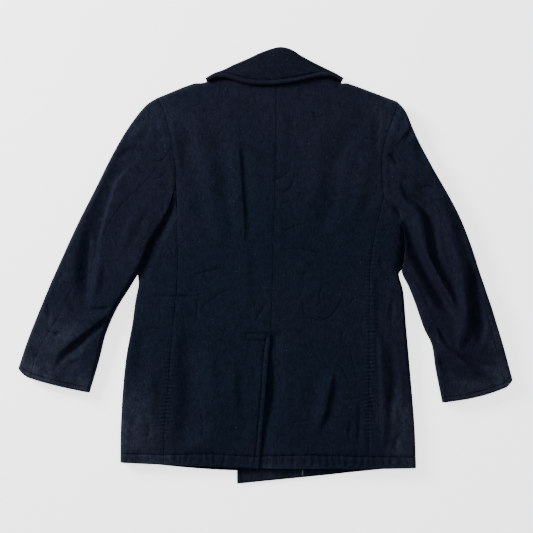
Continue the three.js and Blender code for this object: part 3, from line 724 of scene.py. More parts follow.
def fold_height_at(x, y):
    total = np.zeros(x.shape)
    creases = [(-CREASE_DEPTH, CREASE_REACH, CREASE_REACH, line) for line in CREASE_LINES]
    for height, left, right, line in FOLD_LINES + creases:
        near = near_line(line, max(left, right), x, y)
        if not near.any():
            continue
        signed, share = along_line(line, x[near], y[near])
        ends = line_ends(line, share)
        span = np.where(signed > 0, left, right) * (FOLD_END_WIDTH + (1 - FOLD_END_WIDTH) * ends)
        inside = np.clip(np.abs(signed) / span, 0, 1)
        total[near] += height * ends * 0.5 * (1 + np.cos(np.pi * inside))
    return total


def crease_distance(x, y):
    """Signed distance to the nearest pressed crease, which grows faster towards the crease's ends."""
    best = np.full(x.shape, FAR)
    for line in CREASE_LINES:
        near = near_line(line, MARK_NEAR, x, y)
        if near.any():
            signed, share = along_line(line, x[near], y[near])
            signed = signed / np.maximum(line_ends(line, share), LEAST_END)
            best[near] = nearest(best[near], signed)
    return best


def nearest(first, second):
    """Of two signed distances the smaller, and far away where neither line is near."""
    closer = (np.abs(second) < MARK_NEAR) & (np.abs(second) < np.abs(first))
    return np.where(closer, second, first)


def rumple(x, y):
    """Low, wide unevenness of cloth that has been folded away and worn."""
    first = np.sin(x / 31.0 + 1.7 * np.sin(y / 57.0)) * np.sin(y / 43.0 + 1.3 * np.sin(x / 71.0))
    second = np.sin((x + 0.6 * y) / 17.0 + 2.0 * np.sin(y / 39.0)) * np.sin((y - 0.4 * x) / 23.0)
    third = np.sin((x - 0.3 * y) / 7.3 + 2.3 * np.sin((y + 0.5 * x) / 26.0))
    third = third * np.sin(y / 13.0 + 1.9 * np.sin(x / 19.0))
    return 0.55 * first + 0.42 * second + 0.16 * third


def hem_rise(x):
    return np.interp(x, HEM_STITCH_RISE["x"], HEM_STITCH_RISE["rise"])


def hem_band(x, distance):
    """Groove along the hem's stitches and the puckers below it, by the distance over the edge."""
    rise = hem_rise(x)
    groove = -HEM_GROOVE * bell(distance - rise, HEM_GROOVE_WIDTH)
    groove += HEM_ROLL * bell(distance - rise + HEM_ROLL_PLACE, HEM_ROLL_WIDTH)
    puckers = np.zeros(x.shape)
    for place, depth in PUCKERS:
        lean = place + PUCKER_LEAN * (distance - rise) * math.sin(place)
        puckers -= depth * bell(x - lean, PUCKER_REACH)
    band = smooth(distance, 1.0, 8.0) * (1 - smooth(distance, rise - 2, rise + 9))
    return groove + puckers * band


def plain_height(y):
    return read(BODY_HEIGHT, "height", y)


def back_height(x, y):
    return plain_height(y) + fold_height_at(x, y) + rumple(x, y)


# Seams of the coat, from above

def side_row(half, share):
    row = row_at(half["side"], share)
    return pair(row, "seam"), pair(row, "edge")


def side_width(half, share):
    seam, edge = side_row(half, share)
    return np.linalg.norm(seam - edge, axis=-1)


def side_under(half, share):
    return side_width(half, 0.0) + (SIDE_UNDER - side_width(half, 0.0)) * smooth(share, 0, 2 / SIDE_ROWS)


def side_reach(share):
    return SHOULDER_REACH + (SIDE_REACH - SHOULDER_REACH) * smooth(share, 0, SIDE_REACH_END)


def side_plan(half, share, distance):
    seam, edge = side_row(half, share)
    return edge + unit(seam - edge) * np.asarray(distance)[..., None]


for half_shape in HALVES.values():
    tip_seam, tip_edge = side_row(half_shape, 0.0)
    half_shape["line"] = Line(half_shape["armhole"])
    half_shape["tip"] = (tip_seam, tip_edge)
    half_shape["length"] = half_shape["line"].length + np.linalg.norm(tip_seam - tip_edge)
    half_shape["back_share"] = half_shape["line"].length / half_shape["length"]


def armhole_at(half, share):
    share = np.asarray(share, float)
    back = half["back_share"]
    on_back = half["line"].at(share / back)
    on_side = mix(half["tip"][0], half["tip"][1], np.clip((share - back) / (1 - back), 0, 1))
    return np.where((share < back)[..., None], on_back, on_side)


def armhole_share(half, row):
    """Share of the armhole at a body panel's row, counted from the armpit up."""
    half_rows = ARMHOLE_ROWS / 2
    low, middle, high = half["back_share"], half["seam_share"], SHOULDER_REACH / half["length"]
    return np.interp(row, [0, half_rows, ARMHOLE_ROWS], [low, middle, high])


def outer_side(half, t, under):
    row = t * BODY_ROWS
    down = np.clip(1 - row / SIDE_ROWS, 0, 1)
    distance = side_under(half, down) if under else side_width(half, down)
    below = side_plan(half, down, distance)
    above = armhole_at(half, armhole_share(half, np.clip(row - SIDE_ROWS, 0, ARMHOLE_ROWS)))
    return np.where((row <= SIDE_ROWS)[..., None], below, above)


def centre_x(y):
    return np.where(y < VENT_TOP, read(FLAP_EDGE, "x", y), read(CENTRE_SEAM, "x", y))


def back_inner_side(t, underlap):
    row = t * BODY_ROWS
    at = np.arange(SIDE_ROWS + 1)
    lap = np.where(at < UNDERLAP_ROWS, VENT_LAP, 0.0) if underlap else np.zeros(SIDE_ROWS + 1)
    y = np.interp(row, at, CENTRE_ROWS)
    x_low = centre_x(y) - np.interp(row, at, lap)
    top = np.array([centre_x(NECK_LEVEL), NECK_LEVEL - SHOULDER_REACH])
    start = np.array([centre_x(CENTRE_ROWS[-1]), CENTRE_ROWS[-1]])
    above = mix(start, top, np.clip((row - SIDE_ROWS) / ARMHOLE_ROWS, 0, 1))
    return np.where((row <= SIDE_ROWS)[..., None], np.stack([x_low, y], -1), above)


def front_inner_side(front, t):
    row = t * BODY_ROWS
    hem, turn, neck = (np.array(front[name], float) for name in ("hem", "break", "neck"))
    below = mix(hem, turn, np.clip(row / SIDE_ROWS, 0, 1))
    above = mix(turn, neck - np.array([0, SHOULDER_REACH]), np.clip((row - SIDE_ROWS) / ARMHOLE_ROWS, 0, 1))
    return np.where((row <= SIDE_ROWS)[..., None], below, above)


def shoulder_way(half, share):
    fold = armhole_at(half, SHOULDER_REACH / half["length"])
    corner = unit(armhole_at(half, 0.0) - fold)
    return unit(mix(corner, np.array([0.0, 1.0]), share))


def body_plan(half, outer, inner, low_edge, outline, t, share):
    """Plan of a body panel: straight between its two sides, bent near the hem and the shoulder."""
    low = low_edge(share) - mix(outer(np.zeros(share.shape)), inner(np.zeros(share.shape)), share)
    high_edge = outline.at(share) - shoulder_way(half, share) * SHOULDER_REACH
    high = high_edge - mix(outer(np.ones(share.shape)), inner(np.ones(share.shape)), share)
    middle = mix(outer(t), inner(t), share)
    return middle + low * ((1 - t) ** 3)[..., None] + high * (t ** 3)[..., None]


# Making of meshes

def grid_mesh(name, points, marks, middle, wall):
    """Sheet through a grid of points in millimetres, turned outwards and given its wall."""
    rows, columns = points.shape[0] - 1, points.shape[1] - 1
    overlap_edges(points)
    mesh = bmesh.new()
    bmesh.ops.create_grid(mesh, x_segments=columns, y_segments=rows, size=0.5)
    layers = {name: mesh.verts.layers.float.new(name) for name in marks}
    for vertex in mesh.verts:
        column = round((vertex.co.x + 0.5) * columns)
        row = round((vertex.co.y + 0.5) * rows)
        vertex.co = Vector(points[row, column] * MM)
        for mark, layer in layers.items():
            vertex[layer] = marks[mark][row, column]
    mesh.normal_update()
    facing = sum(f.normal.z * (f.calc_center_median().z - middle * MM) * f.calc_area() for f in mesh.faces)
    if facing < 0:
        bmesh.ops.reverse_faces(mesh, faces=mesh.faces[:])
    piece = mesh_object(name, mesh)
    piece.data.shade_smooth()
    thickness = piece.modifiers.new("wall", "SOLIDIFY")
    thickness.thickness = wall * MM
    thickness.offset = -1.0
    thickness.use_even_offset = False
    bevel = piece.modifiers.new("pressed edge", "BEVEL")
    bevel.width = EDGE_ROUND * MM
    bevel.segments = 3
    bevel.limit_method = "ANGLE"
    bevel.angle_limit = math.radians(EDGE_ANGLE)
    bevel.use_clamp_overlap = True
    return piece


def overlap_edges(points):
    """Moves a panel's four edges out a little, so that it meets its neighbours at the seams."""
    for edge, inside in ((0, 1), (-1, -2)):
        points[edge] -= unit(points[inside] - points[edge]) * SEAM_OVERLAP / 2
        points[:, edge] -= unit(points[:, inside] - points[:, edge]) * SEAM_OVERLAP / 2


def draw_marks(points, seams=(), stitches=(), ladder=None):
    """What the wool's material is told about a panel: its seams, its stitch rows and its creases."""
    shape = points.shape[:2]
    seam = np.full(shape, FAR)
    for edge in seams:
        seam = np.minimum(seam, from_edge(points, edge))
    stitch = np.full(shape, FAR)
    for line in stitches:
        stitch = nearest(stitch, line)
    crease = np.where(points[..., 2] > CREASE_LEVEL, crease_distance(points[..., 0], points[..., 1]), FAR)
    return {"seam": seam, "stitch": stitch, "crease": crease,
            "ladder": np.zeros(shape) if ladder is None else ladder}


def join_z(plan, z):
    return np.concatenate([plan, np.broadcast_to(z, plan.shape[:-1])[..., None]], axis=-1)


# Panels of the body

def bend(start, end):
    """Angles round a bent edge, from 90 above it through 0 at its middle to -90 below it."""
    return np.radians(np.linspace(start, end, FOLD_STEPS * (start - end) // 180 + 1))[None]


def row_shares(side, step, low=0.0, high=1.0):
    """Shares of a side that lie at even steps along it."""
    t = np.linspace(low, high, SIDE_SAMPLES)
    run = running_length(side(t))
    return np.interp(even(0, run[-1], max(2, round(run[-1] / step))), run, t)


def shoulder_fold(half, points, share, upper):
    """Rows round the shoulder's edge, added to a body panel's last row."""
    start = points[-1]
    way = shoulder_way(half, share)
    angle = bend(90, 0)[0, 1:, None]
    outward = SHOULDER_REACH * np.cos(angle)
    plan = start[None, :, :2] + way[None] * outward[..., None]
    top = back_height(start[:, 0], start[:, 1])[None]
    low = np.zeros(top.shape) if upper else start[None, :, 2]
    high = top if upper else top - low
    turn = np.sin(angle) if upper else -np.sin(angle)
    z = (high + low) / 2 + (high - low) / 2 * turn
    return np.concatenate([points, join_z(plan, z)], axis=0)


def press(distance):
    return SEAM_PRESS * np.exp(-SEAM_PRESS_SHARPNESS * (distance / SEAM_PRESS_REACH) ** 2)


EDGES = {
    "first_column": np.s_[:, :1, :2],
    "last_column": np.s_[:, -1:, :2],
    "first_row": np.s_[:1, :, :2],
    "last_row": np.s_[-1:, :, :2],
}


def from_edge(points, edge):
    """Distance in plan from each grid point to the given edge point of its own row or column."""
    return np.linalg.norm(points[..., :2] - points[EDGES[edge]], axis=-1)


def vent_drop(x, y, t):
    row = t * BODY_ROWS
    beyond = x - (centre_x(y) + VENT_CLEARANCE)
    return (LAYER_STEP + LAYER_GAP) * (1 - smooth(beyond, 1, VENT_RISE)) * np.clip(VENT_ROWS - row, 0, 1)


def back_panel(half, underlap):
    def outer(t):
        return outer_side(half, t, under=False)

    def inner(t):
        return back_inner_side(t, underlap)

    def low_edge(share):
        return mix(outer(np.zeros(share.shape)), inner(np.zeros(share.shape)), share)

    outline = Line([*half["shoulder"], (centre_x(NECK_LEVEL), NECK_LEVEL)])
    t = row_shares(inner if not underlap else outer, FINE_STEP)
    width = np.linalg.norm(outer(t) - inner(t), axis=-1).max()
    t, share = np.meshgrid(t, even(0, 1, round(width / FINE_STEP)), indexing="ij")
    plan = body_plan(half, outer, inner, low_edge, outline, t, share)
    x, y = plan[..., 0], plan[..., 1]
    points = join_z(plan, back_height(x, y))

    outer_seam, inner_seam = from_edge(points, "first_column"), from_edge(points, "last_column")
    hem = from_edge(points, "first_row")
    above_vent = smooth(y, VENT_TOP - 6, VENT_TOP + 6)
    points[..., 2] -= press(outer_seam) + CENTRE_PRESS * press(inner_seam) * above_vent
    points[..., 2] += hem_band(x, hem)
    if underlap:
        points[..., 2] -= vent_drop(x, y, t)
        along = bell(y - VENT_HOLLOW["level"], VENT_HOLLOW["length"])
        across = bell(x - centre_x(y) - VENT_HOLLOW["inside"], VENT_HOLLOW["width"])
        points[..., 2] -= VENT_HOLLOW["depth"] * (along * across)
    else:
        points[..., 2] += vent_finish(x, y, inner_seam)
    points = shoulder_fold(half, points, share[-1], upper=True)
    seams = ["first_column"] if underlap else ["first_column", "last_column"]
    return points, draw_marks(points, seams, back_stitches(points, underlap), seam_ladder(points))


def stitch_row(distance, shown):
    """Signed distance to a row of stitches, far away where the row isn't shown."""
    return np.where(shown, distance, FAR)


def back_stitches(points, underlap):
    x, y = points[..., 0], points[..., 1]
    hem = from_edge(points, "first_row")
    low = y < VENT_TOP
    rows = [stitch_row(hem - hem_rise(x), low)]
    if underlap:
        faint = CENTRE_FAINT * (1 - smooth(y, *CENTRE_FAINT_ENDS))
        rows.append(stitch_row(np.abs(x - centre_x(y) - 1.0) + faint, ~low & (y < NECK_LEVEL)))
    else:
        edge = from_edge(points, "last_column")
        rows.append(stitch_row(edge - TOPSTITCH, low & (y > VENT_TOP - VENT_STITCH_LENGTH) & (edge < 20)))
        signed, share = along_line(drawn(BAR), x, y)
        rows.append(stitch_row(signed, (share > 0) & (share < 1)))
    return rows


def seam_ladder(points):
    """Where the side seam's stitches gather the cloth into short ridges."""
    seam = from_edge(points, "first_column")
    x, y = points[..., 0], points[..., 1]
    low, high = LADDER[0] if x.mean() < 0 else LADDER[1]
    along = smooth(y, low, low + LADDER_FADE) * (1 - smooth(y, high - LADDER_FADE, high))
    return along * bell(seam, LADDER_REACH)


def vent_finish(x, y, inside):
    """The flap's lifted edge, its topstitching and the stitched bar at its top."""
    below = 1 - smooth(y, VENT_TOP - 14, VENT_TOP - 2)
    lift = VENT_LIFT["height"] * bell(y - VENT_LIFT["level"], VENT_LIFT["length"])
    lift = lift * (1 - smooth(inside, 0, VENT_LIFT["width"]))
    stitch = -VENT_STITCH_DEPTH * bell(inside - TOPSTITCH, TOPSTITCH_WIDTH)
    puff = VENT_PUFF * bell(inside - TOPSTITCH / 2, TOPSTITCH_PUFF)
    bar = BAR_DEPTH * bell(along_line(np.array(BAR, float), x, y)[0], BAR_WIDTH)
    return (lift + stitch + puff) * below * smooth(y, *VENT_FINISH_ENDS) - bar


def side_panel(half):
    def seam(t):
        return side_row(half, t)[0]

    t = row_shares(seam, FINE_STEP)
    width = side_width(half, t)
    reach = EDGE_TIGHTNESS * side_reach(t)
    top_columns = round((width - reach).max() / FINE_STEP)
    under_columns = round(SIDE_UNDER * 2 / PLAIN_STEP)

    share, along = np.meshgrid(t, even(0, 1, top_columns)[:-1], indexing="ij")
    distance = width[:, None] + (reach - width)[:, None] * along
    plan = side_plan(half, share, distance)
    x, y = plan[..., 0], plan[..., 1]
    upper = join_z(plan, back_height(x, y))

    start = side_plan(half, t, reach)
    top = back_height(start[:, 0], start[:, 1])[:, None]
    angle = bend(90, -90)
    rows = np.broadcast_to(t[:, None], (len(t), angle.size))
    plan = side_plan(half, rows, reach[:, None] * (1 - np.cos(angle)))
    fold = join_z(plan, top / 2 * (1 + np.sin(angle)))

    share, along = np.meshgrid(t, even(0, 1, under_columns)[1:], indexing="ij")
    distance = reach[:, None] + (side_under(half, t) - reach)[:, None] * along
    under = join_z(side_plan(half, share, distance), 0.0)

    points = np.concatenate([upper, fold, under], axis=1)
    sink_below_sleeve(half["under_sleeve"], points, t)
    x, y = points[..., 0], points[..., 1]
    seam_distance, armpit, hem = (from_edge(points, edge)
                                  for edge in ("first_column", "first_row", "last_row"))
    visible = smooth(points[..., 2], *SIDE_VISIBLE)
    points[..., 2] += visible * (hem_band(x, hem) - press(seam_distance) - press(armpit))
    ladder = np.where(points[..., 2] > CREASE_LEVEL, seam_ladder(points), 0.0)
    stitches = [stitch_row(hem - hem_rise(x), points[..., 2] > CREASE_LEVEL)]
    return points, draw_marks(points, ["first_column", "first_row"], stitches, ladder)


def sink_below_sleeve(over, points, t):
    """Lowers a side panel's edge and carries it on outwards where the sleeve lies over it."""
    first, full, last, end = over["rows"]
    share = (smooth(t, first, full) * (1 - smooth(t, last, end)))[:, None]
    on_top = from_edge(points, "first_column") * (points[..., 2] > OFF_SURFACE)
    edge = points[np.arange(len(t)), np.argmax(on_top, axis=1), :2][:, None]
    inside = np.linalg.norm(points[..., :2] - edge, axis=-1)
    kept = over["height"] / DIP_FULL_HEIGHT
    squeeze = kept + (1 - kept) * smooth(inside, 0, over["reach"])
    points[..., 2] *= 1 - share * (1 - squeeze)
    way = unit(edge - points[:, :1, :2])
    near = 1 - smooth(inside, 0, DIP_REACH)
    points[..., :2] += way * (share * near * over["below"])[..., None]


def front_panel(half, front, height_at):
    def outer(t):
        return outer_side(half, t, under=True)

    def inner(t):
        return front_inner_side(front, t)

    def low_edge(share):
        point = mix(outer(np.zeros(share.shape)), np.array(front["hem"], float), share)
        point[..., 1] -= front["bow"] * np.sin(np.pi * share)
        return point

    outline = Line(half["shoulder"])
    fine = even(0, FRONT_HEM_SHARE, FRONT_HEM_STEPS)
    t = np.concatenate([fine, row_shares(inner, PLAIN_STEP, FRONT_HEM_SHARE, 1.0)[1:]])
    t, share = np.meshgrid(t, even(0, 1, FRONT_STEPS), indexing="ij")
    plan = body_plan(half, outer, inner, low_edge, outline, t, share)
    points = join_z(plan, height_at(plan[..., 0], plan[..., 1], share))
    hem = from_edge(points, "first_row")
    wave = np.sin(plan[..., 0] / 2.1 + 1.2 * np.sin(plan[..., 0] / 9.0))
    puckers = FRONT_PUCKER * wave * smooth(hem, *FRONT_PUCKER_START)
    points[..., 2] += np.maximum(puckers, FRONT_PUCKER_LEAST) * (1 - smooth(hem, *FRONT_PUCKER_END))
    points = shoulder_fold(half, points, share[-1], upper=False)
    return points, draw_marks(points)


def step_over(x, y):
    across = 1 - smooth(x, STEP_OVER["full"], STEP_OVER["none"])
    return LAYER_STEP * across * (1 - smooth(y, STEP_OVER["top"], STEP_OVER["end"]))


def left_front_height(_, y, share):
    inside = smooth(share, 0, 1 / FRONT_COLUMNS)
    return LAYER_STEP * inside * smooth(y, BUTTON_RISE["hem_end"], BUTTON_RISE["full"])


def right_front_height(x, y, share):
    return left_front_height(x, y, share) + step_over(x, y)


def flat_panel(corners, z, step):
    low_left, low_right, high_left, high_right = (np.array(corner, float) for corner in corners)
    rows = round(np.linalg.norm(high_left - low_left) / step)
    columns = round(np.linalg.norm(low_right - low_left) / step)
    up, across = np.meshgrid(even(0, 1, rows), even(0, 1, columns), indexing="ij")
    plan = mix(mix(low_left, low_right, across), mix(high_left, high_right, across), up)
    points = join_z(plan, np.full(up.shape, float(z)))
    edge = np.where(z > 0, from_edge(points, "first_column") - FACING_STITCH, FAR)
    return points, draw_marks(points, stitches=[edge])


# Sleeves

def sleeve_row(half, share):
    row = row_at(half["sleeve"], share)
    lines = {name: pair(row, name) for name in ("outer", "seam", "inner")}
    return {**lines, "height": row["height"], "reach": row["reach"]}


def across_row(half, row, across):
    seam = half["seam_share"]
    outer = mix(row["outer"], row["seam"], across / seam)
    inner = mix(row["seam"], row["inner"], (across - seam) / (1 - seam))
    return np.where((across < seam)[..., None], outer, inner)


def sleeve_plan(half, share, across):
    share, across = np.broadcast_arrays(share, across)
    point = across_row(half, sleeve_row(half, share), across)
    bow = armhole_at(half, across) - across_row(half, sleeve_row(half, np.zeros(share.shape)), across)
    point = point + bow * (1 - smooth(share, 0, ARMHOLE_FADE))[..., None]
    point[..., 1] -= CUFF_BOW * np.sin(np.pi * across) * smooth(share, CUFF_FADE, 1)
    return point


def across_at(half, share, distance, from_outer):
    row = sleeve_row(half, share)
    blend = smooth(share, 0, ARMHOLE_FADE)
    piece = half["seam_share"] if from_outer else 1 - half["seam_share"]
    ends = ("outer", "seam") if from_outer else ("seam", "inner")
    straight = np.linalg.norm(row[ends[0]] - row[ends[1]], axis=-1)
    across = piece * distance / (piece * half["length"] * (1 - blend) + straight * blend)
    return across if from_outer else 1 - across


def sleeve_height(half, share, x, y):
    own = sleeve_row(half, share)["height"]
    blend = smooth(share, 0, ARMHOLE_FADE)
    return plain_height(y) * (1 - blend) + own * blend + fold_height_at(x, y) + rumple(x, y)


def sleeve_panel(half, outer_piece):
    t = even(0, 1, round(SLEEVE_LENGTH / FINE_STEP))
    reach = EDGE_TIGHTNESS * sleeve_row(half, t)["reach"]
    fold_share = across_at(half, t, reach, outer_piece)
    seam = half["seam_share"]

    def flat_part(steps):
        share, along = np.meshgrid(t, even(0, 1, steps)[:-1], indexing="ij")
        across = seam + (fold_share[:, None] - seam) * along
        return share, sleeve_plan(half, share, across)

    share, plan = flat_part(round(SLEEVE_WIDTH / FINE_STEP))
    upper = join_z(plan, sleeve_height(half, share, plan[..., 0], plan[..., 1]))

    start = sleeve_plan(half, t, fold_share)
    top = sleeve_height(half, t, start[:, 0], start[:, 1])[:, None]
    angle = bend(90, -90)
    share = np.broadcast_to(t[:, None], (len(t), angle.size))
    distance = reach[:, None] * (1 - np.cos(angle))
    plan = sleeve_plan(half, share, across_at(half, share, distance, outer_piece))
    low = 0.0 if outer_piece else WALL * (1 - smooth(t, *ARMPIT_FADE))[:, None]
    fold = join_z(plan, low + (top - low) / 2 * (1 + np.sin(angle)))

    share, plan = flat_part(round(SLEEVE_WIDTH / PLAIN_STEP))
    under = join_z(plan[:, ::-1], low)

    points = np.concatenate([upper, fold, under], axis=1)
    seam_distance, armhole = from_edge(points, "first_column"), from_edge(points, "first_row")
    cuff = from_edge(points, "last_row")
    visible = smooth(points[..., 2], *SLEEVE_VISIBLE)
    head = SLEEVE_HEAD * bell(armhole - SLEEVE_HEAD_PLACE, SLEEVE_HEAD_WIDTH) - press(armhole)
    stitch = -CUFF_STITCH_DEPTH * bell(cuff - TOPSTITCH, TOPSTITCH_WIDTH)
    edge = CUFF_PUFF * bell(cuff - TOPSTITCH / 2, TOPSTITCH_PUFF)
    points[..., 2] += visible * (head + stitch + edge - SLEEVE_PRESS * press(seam_distance))
    stitches = [stitch_row(cuff - TOPSTITCH, points[..., 2] > OFF_SURFACE),
                stitch_row(seam_distance + SLEEVE_SEAM_FAINT, points[..., 2] > CREASE_LEVEL)]
    return points, draw_marks(points, ["first_row"], stitches)


# Collar

def collar_row(share):
    row = row_at(COLLAR, share)
    outer, edge = pair(row, "outer"), pair(row, "edge")
    width = np.linalg.norm(outer - edge, axis=-1)
    return outer, unit(edge - outer), width, np.minimum(COLLAR_REACH, width * COLLAR_REACH_SHARE)


def collar_bend(outer, way, reach, angle):
    return outer[:, None] + way[:, None] * (reach[:, None] * (1 - np.cos(angle)))[..., None]


def collar_fall():
    outer, way, width, reach = collar_row(even(0, 1, COLLAR_STEPS))
    along = even(0, 1, COLLAR_ACROSS_STEPS)[None, :-1]
    distance = width[:, None] + (reach - width)[:, None] * along
    plan = outer[:, None] + way[:, None] * distance[..., None]
    x, y = plan[..., 0], plan[..., 1]
    on_back = plain_height(y) + COLLAR_FOLD_SHARE * fold_height_at(x, y)
    on_back += LAYER_STEP + LAYER_GAP + COLLAR_LIFT
    beyond = smooth(1 - distance / width[:, None], COLLAR_FADE, 1)
    from_lower = width[:, None] - distance
    welt = WELT_RISE * smooth(from_lower, *WELT_START) * (1 - smooth(from_lower, WELT_FLAT, COLLAR_WELT))
    groove = -WELT_GROOVE * bell(from_lower - COLLAR_WELT - WELT_GROOVE_PLACE, TOPSTITCH_WIDTH)
    full = np.clip(width / WELT_FULL_WIDTH, 0, 1)[:, None]
    crease = COLLAR_RUMPLE * rumple(x * COLLAR_RUMPLE_SCALE, y * COLLAR_RUMPLE_SCALE)
    z = on_back * (1 - beyond) + COLLAR_TOP * beyond + (welt + groove + crease * beyond) * full
    fall = join_z(plan, z)

    angle = bend(90, 0)
    z = COLLAR_MID + (COLLAR_TOP - COLLAR_MID) * np.sin(angle)
    points = np.concatenate([fall, join_z(collar_bend(outer, way, reach, angle), z)], axis=1)
    lower = from_edge(points, "first_column") - COLLAR_WELT - WELT_GROOVE_PLACE
    wide = np.broadcast_to(width[:, None] > WELT_LEAST_WIDTH, lower.shape)
    return points, draw_marks(points, stitches=[stitch_row(lower, wide)])


def collar_under(shares, ends, low, end_low):
    """Collar's lower layer: round its outer fold, then in to the given line of ends."""
    outer, way, _, reach = collar_row(shares)
    angle = bend(0, -90)
    plan = collar_bend(outer, way, reach, angle)
    fold = join_z(plan, COLLAR_MID + (COLLAR_MID - low) * np.sin(angle))
    along = even(0, 1, COLLAR_UNDER_STEPS)[1:]
    start = plan[:, -1]
    inner = start[:, None] + (ends - start)[:, None] * along[None, :, None]
    z = low + (np.broadcast_to(end_low, len(shares))[:, None] - low) * along[None]
    points = np.concatenate([fold, join_z(inner, z)], axis=1)
    return points, draw_marks(points)


# Materials

def new_group(name, inputs, outputs):
    group = bpy.data.node_groups.new(name, "ShaderNodeTree")
    for socket, kind, value in inputs:
        item = group.interface.new_socket(socket, in_out="INPUT", socket_type=kind)
        if value is not None:
            item.default_value = value
    for socket, kind in outputs:
        group.interface.new_socket(socket, in_out="OUTPUT", socket_type=kind)
    return group, group.nodes.new("NodeGroupInput"), group.nodes.new("NodeGroupOutput")


class Graph:
    """Short ways to add and join nodes."""

    def __init__(self, tree):
        self.nodes = tree.nodes
        self.links = tree.links

    def join(self, value, socket):
        if isinstance(value, bpy.types.NodeSocket):
            self.links.new(value, socket)
        elif value is not None:
            socket.default_value = value

    def math(self, operation, a, b=None):
        node = self.nodes.new("ShaderNodeMath")
        node.operation = operation
        for value, socket in zip((a, b), node.inputs):
            self.join(value, socket)
        return node.outputs[0]

    def times(self, a, b):
        return self.math("MULTIPLY", a, b)

    def plus(self, a, b):
        return self.math("ADD", a, b)

    def larger(self, a, b):
        return self.math("MAXIMUM", a, b)

    def vector_math(self, operation, a, b=None):
        node = self.nodes.new("ShaderNodeVectorMath")
        node.operation = operation
        self.join(a, node.inputs[0])
        self.join(b, node.inputs[1])
        return node.outputs["Value" if operation == "LENGTH" else "Vector"]

    def noise(self, where, scale, detail, roughness):
        node = self.nodes.new("ShaderNodeTexNoise")
        for key, value in zip(("Vector", "Scale", "Detail", "Roughness"), (where, scale, detail, roughness)):
            self.join(value, node.inputs[key])
        return node.outputs["Fac"]

    def ramp(self, value, low, high, to_low=0.0, to_high=1.0, smooth_step=True):
        node = self.nodes.new("ShaderNodeMapRange")
        node.interpolation_type = "SMOOTHSTEP" if smooth_step else "LINEAR"
        for key, part in zip(("Value", "From Min", "From Max", "To Min", "To Max"),
                             (value, low, high, to_low, to_high)):
            self.join(part, node.inputs[key])
        return node.outputs["Result"]

    def blend(self, share, a, b):
        node = self.nodes.new("ShaderNodeMix")
        node.data_type = "RGBA"
        self.join(share, node.inputs["Factor"])
        self.join(a, node.inputs[6])
        self.join(b, node.inputs[7])
        return node.outputs[2]

    def mapping(self, where, place=(0, 0, 0), scale=(1, 1, 1)):
        node = self.nodes.new("ShaderNodeMapping")
        self.join(where, node.inputs["Vector"])
        node.inputs["Location"].default_value = place
        node.inputs["Scale"].default_value = scale
        return node.outputs["Vector"]


def spot(graph, where, centre, size):
    """Soft round mask about a place in metres, 1 at its middle and 0 at its edge."""
    shift = graph.vector_math("SUBTRACT", where, (*centre, 0))
    squeeze = graph.vector_math("MULTIPLY", shift, (1 / size[0], 1 / size[1], 0))
    return graph.ramp(graph.vector_math("LENGTH", squeeze), 0.2, 1.0, 1.0, 0.0)


def wool_colour(graph, where, noise):
    """Blue and plum cloth with its dusty places, painted shade at the collar and the armpits, and the
    thread's end.
    """
    patches = graph.plus(noise["cloud"], graph.times(noise["patch"], PATCH_SHARE))
    middle = graph.times(spot(graph, where, *MIDDLE_PLACE), MIDDLE_SHARE)
    plum = graph.ramp(graph.math("SUBTRACT", patches, middle), 0.20, 0.70)
    colour = graph.blend(plum, DEEP_BLUE, PLUM_BLUE)
    dust = 0.0
    for centre, size, strength in DUSTY_PLACES:
        dust = graph.larger(dust, graph.times(spot(graph, where, centre, size), strength))
    dust = graph.times(dust, graph.ramp(noise["dust"], 0.32, 0.68, 0.25, 1.0))
    colour = graph.blend(graph.times(dust, DUST_SHARE), colour, PALE_DUST)
    # Painted shade at the collar and under the arms
    for centre, size, strength in PAINTED_SHADE_PLACES:
        painted_shade = graph.times(spot(graph, where, centre, size), strength)
        colour = graph.blend(painted_shade, colour, PAINTED_SHADE_DARK)
    return graph.blend(spot(graph, where, *THREAD_END), colour, PALE_THREAD)


def wool_tone(graph, where, noise, colour):
    """The cloth's colour with its grain, its nap and a mottle."""
    nap = graph.noise(graph.mapping(where, scale=NAP_STRETCH), *NAP)
    tone = graph.plus(graph.ramp(noise["grain"], 0.30, 0.72, *GRAIN_TONE),
                      graph.ramp(nap, 0.3, 0.7, *NAP_TONE))
    tone = graph.times(tone, graph.ramp(noise["mottle"], 0.3, 0.7, *MOTTLE_TONE))
    shade = graph.nodes.new("ShaderNodeVectorMath")
    shade.operation = "SCALE"
    graph.join(colour, shade.inputs[0])
    graph.join(tone, shade.inputs["Scale"])
    return shade.outputs[0]


def lint_specks(graph, where):
    """1 on a few small specks of lint, in two sizes."""
    specks = 0.0
    for scale, place, size in LINT_LAYERS:
        cells = graph.nodes.new("ShaderNodeTexVoronoi")
        graph.join(graph.mapping(where, place=(place, 0.7 * place, 0)), cells.inputs["Vector"])
        cells.inputs["Scale"].default_value = scale
        speck = graph.ramp(cells.outputs["Distance"], size * 0.5, size, 1.0, 0.0)
        split = graph.nodes.new("ShaderNodeSeparateColor")
        graph.join(cells.outputs["Color"], split.inputs[0])
        chosen = graph.ramp(split.outputs["Red"], LINT_RARE, 1.0, 0.25, 1.0, smooth_step=False)
        chosen = graph.times(chosen, graph.math("GREATER_THAN", split.outputs["Red"], LINT_RARE))
        specks = graph.larger(specks, graph.times(speck, chosen))
    return specks


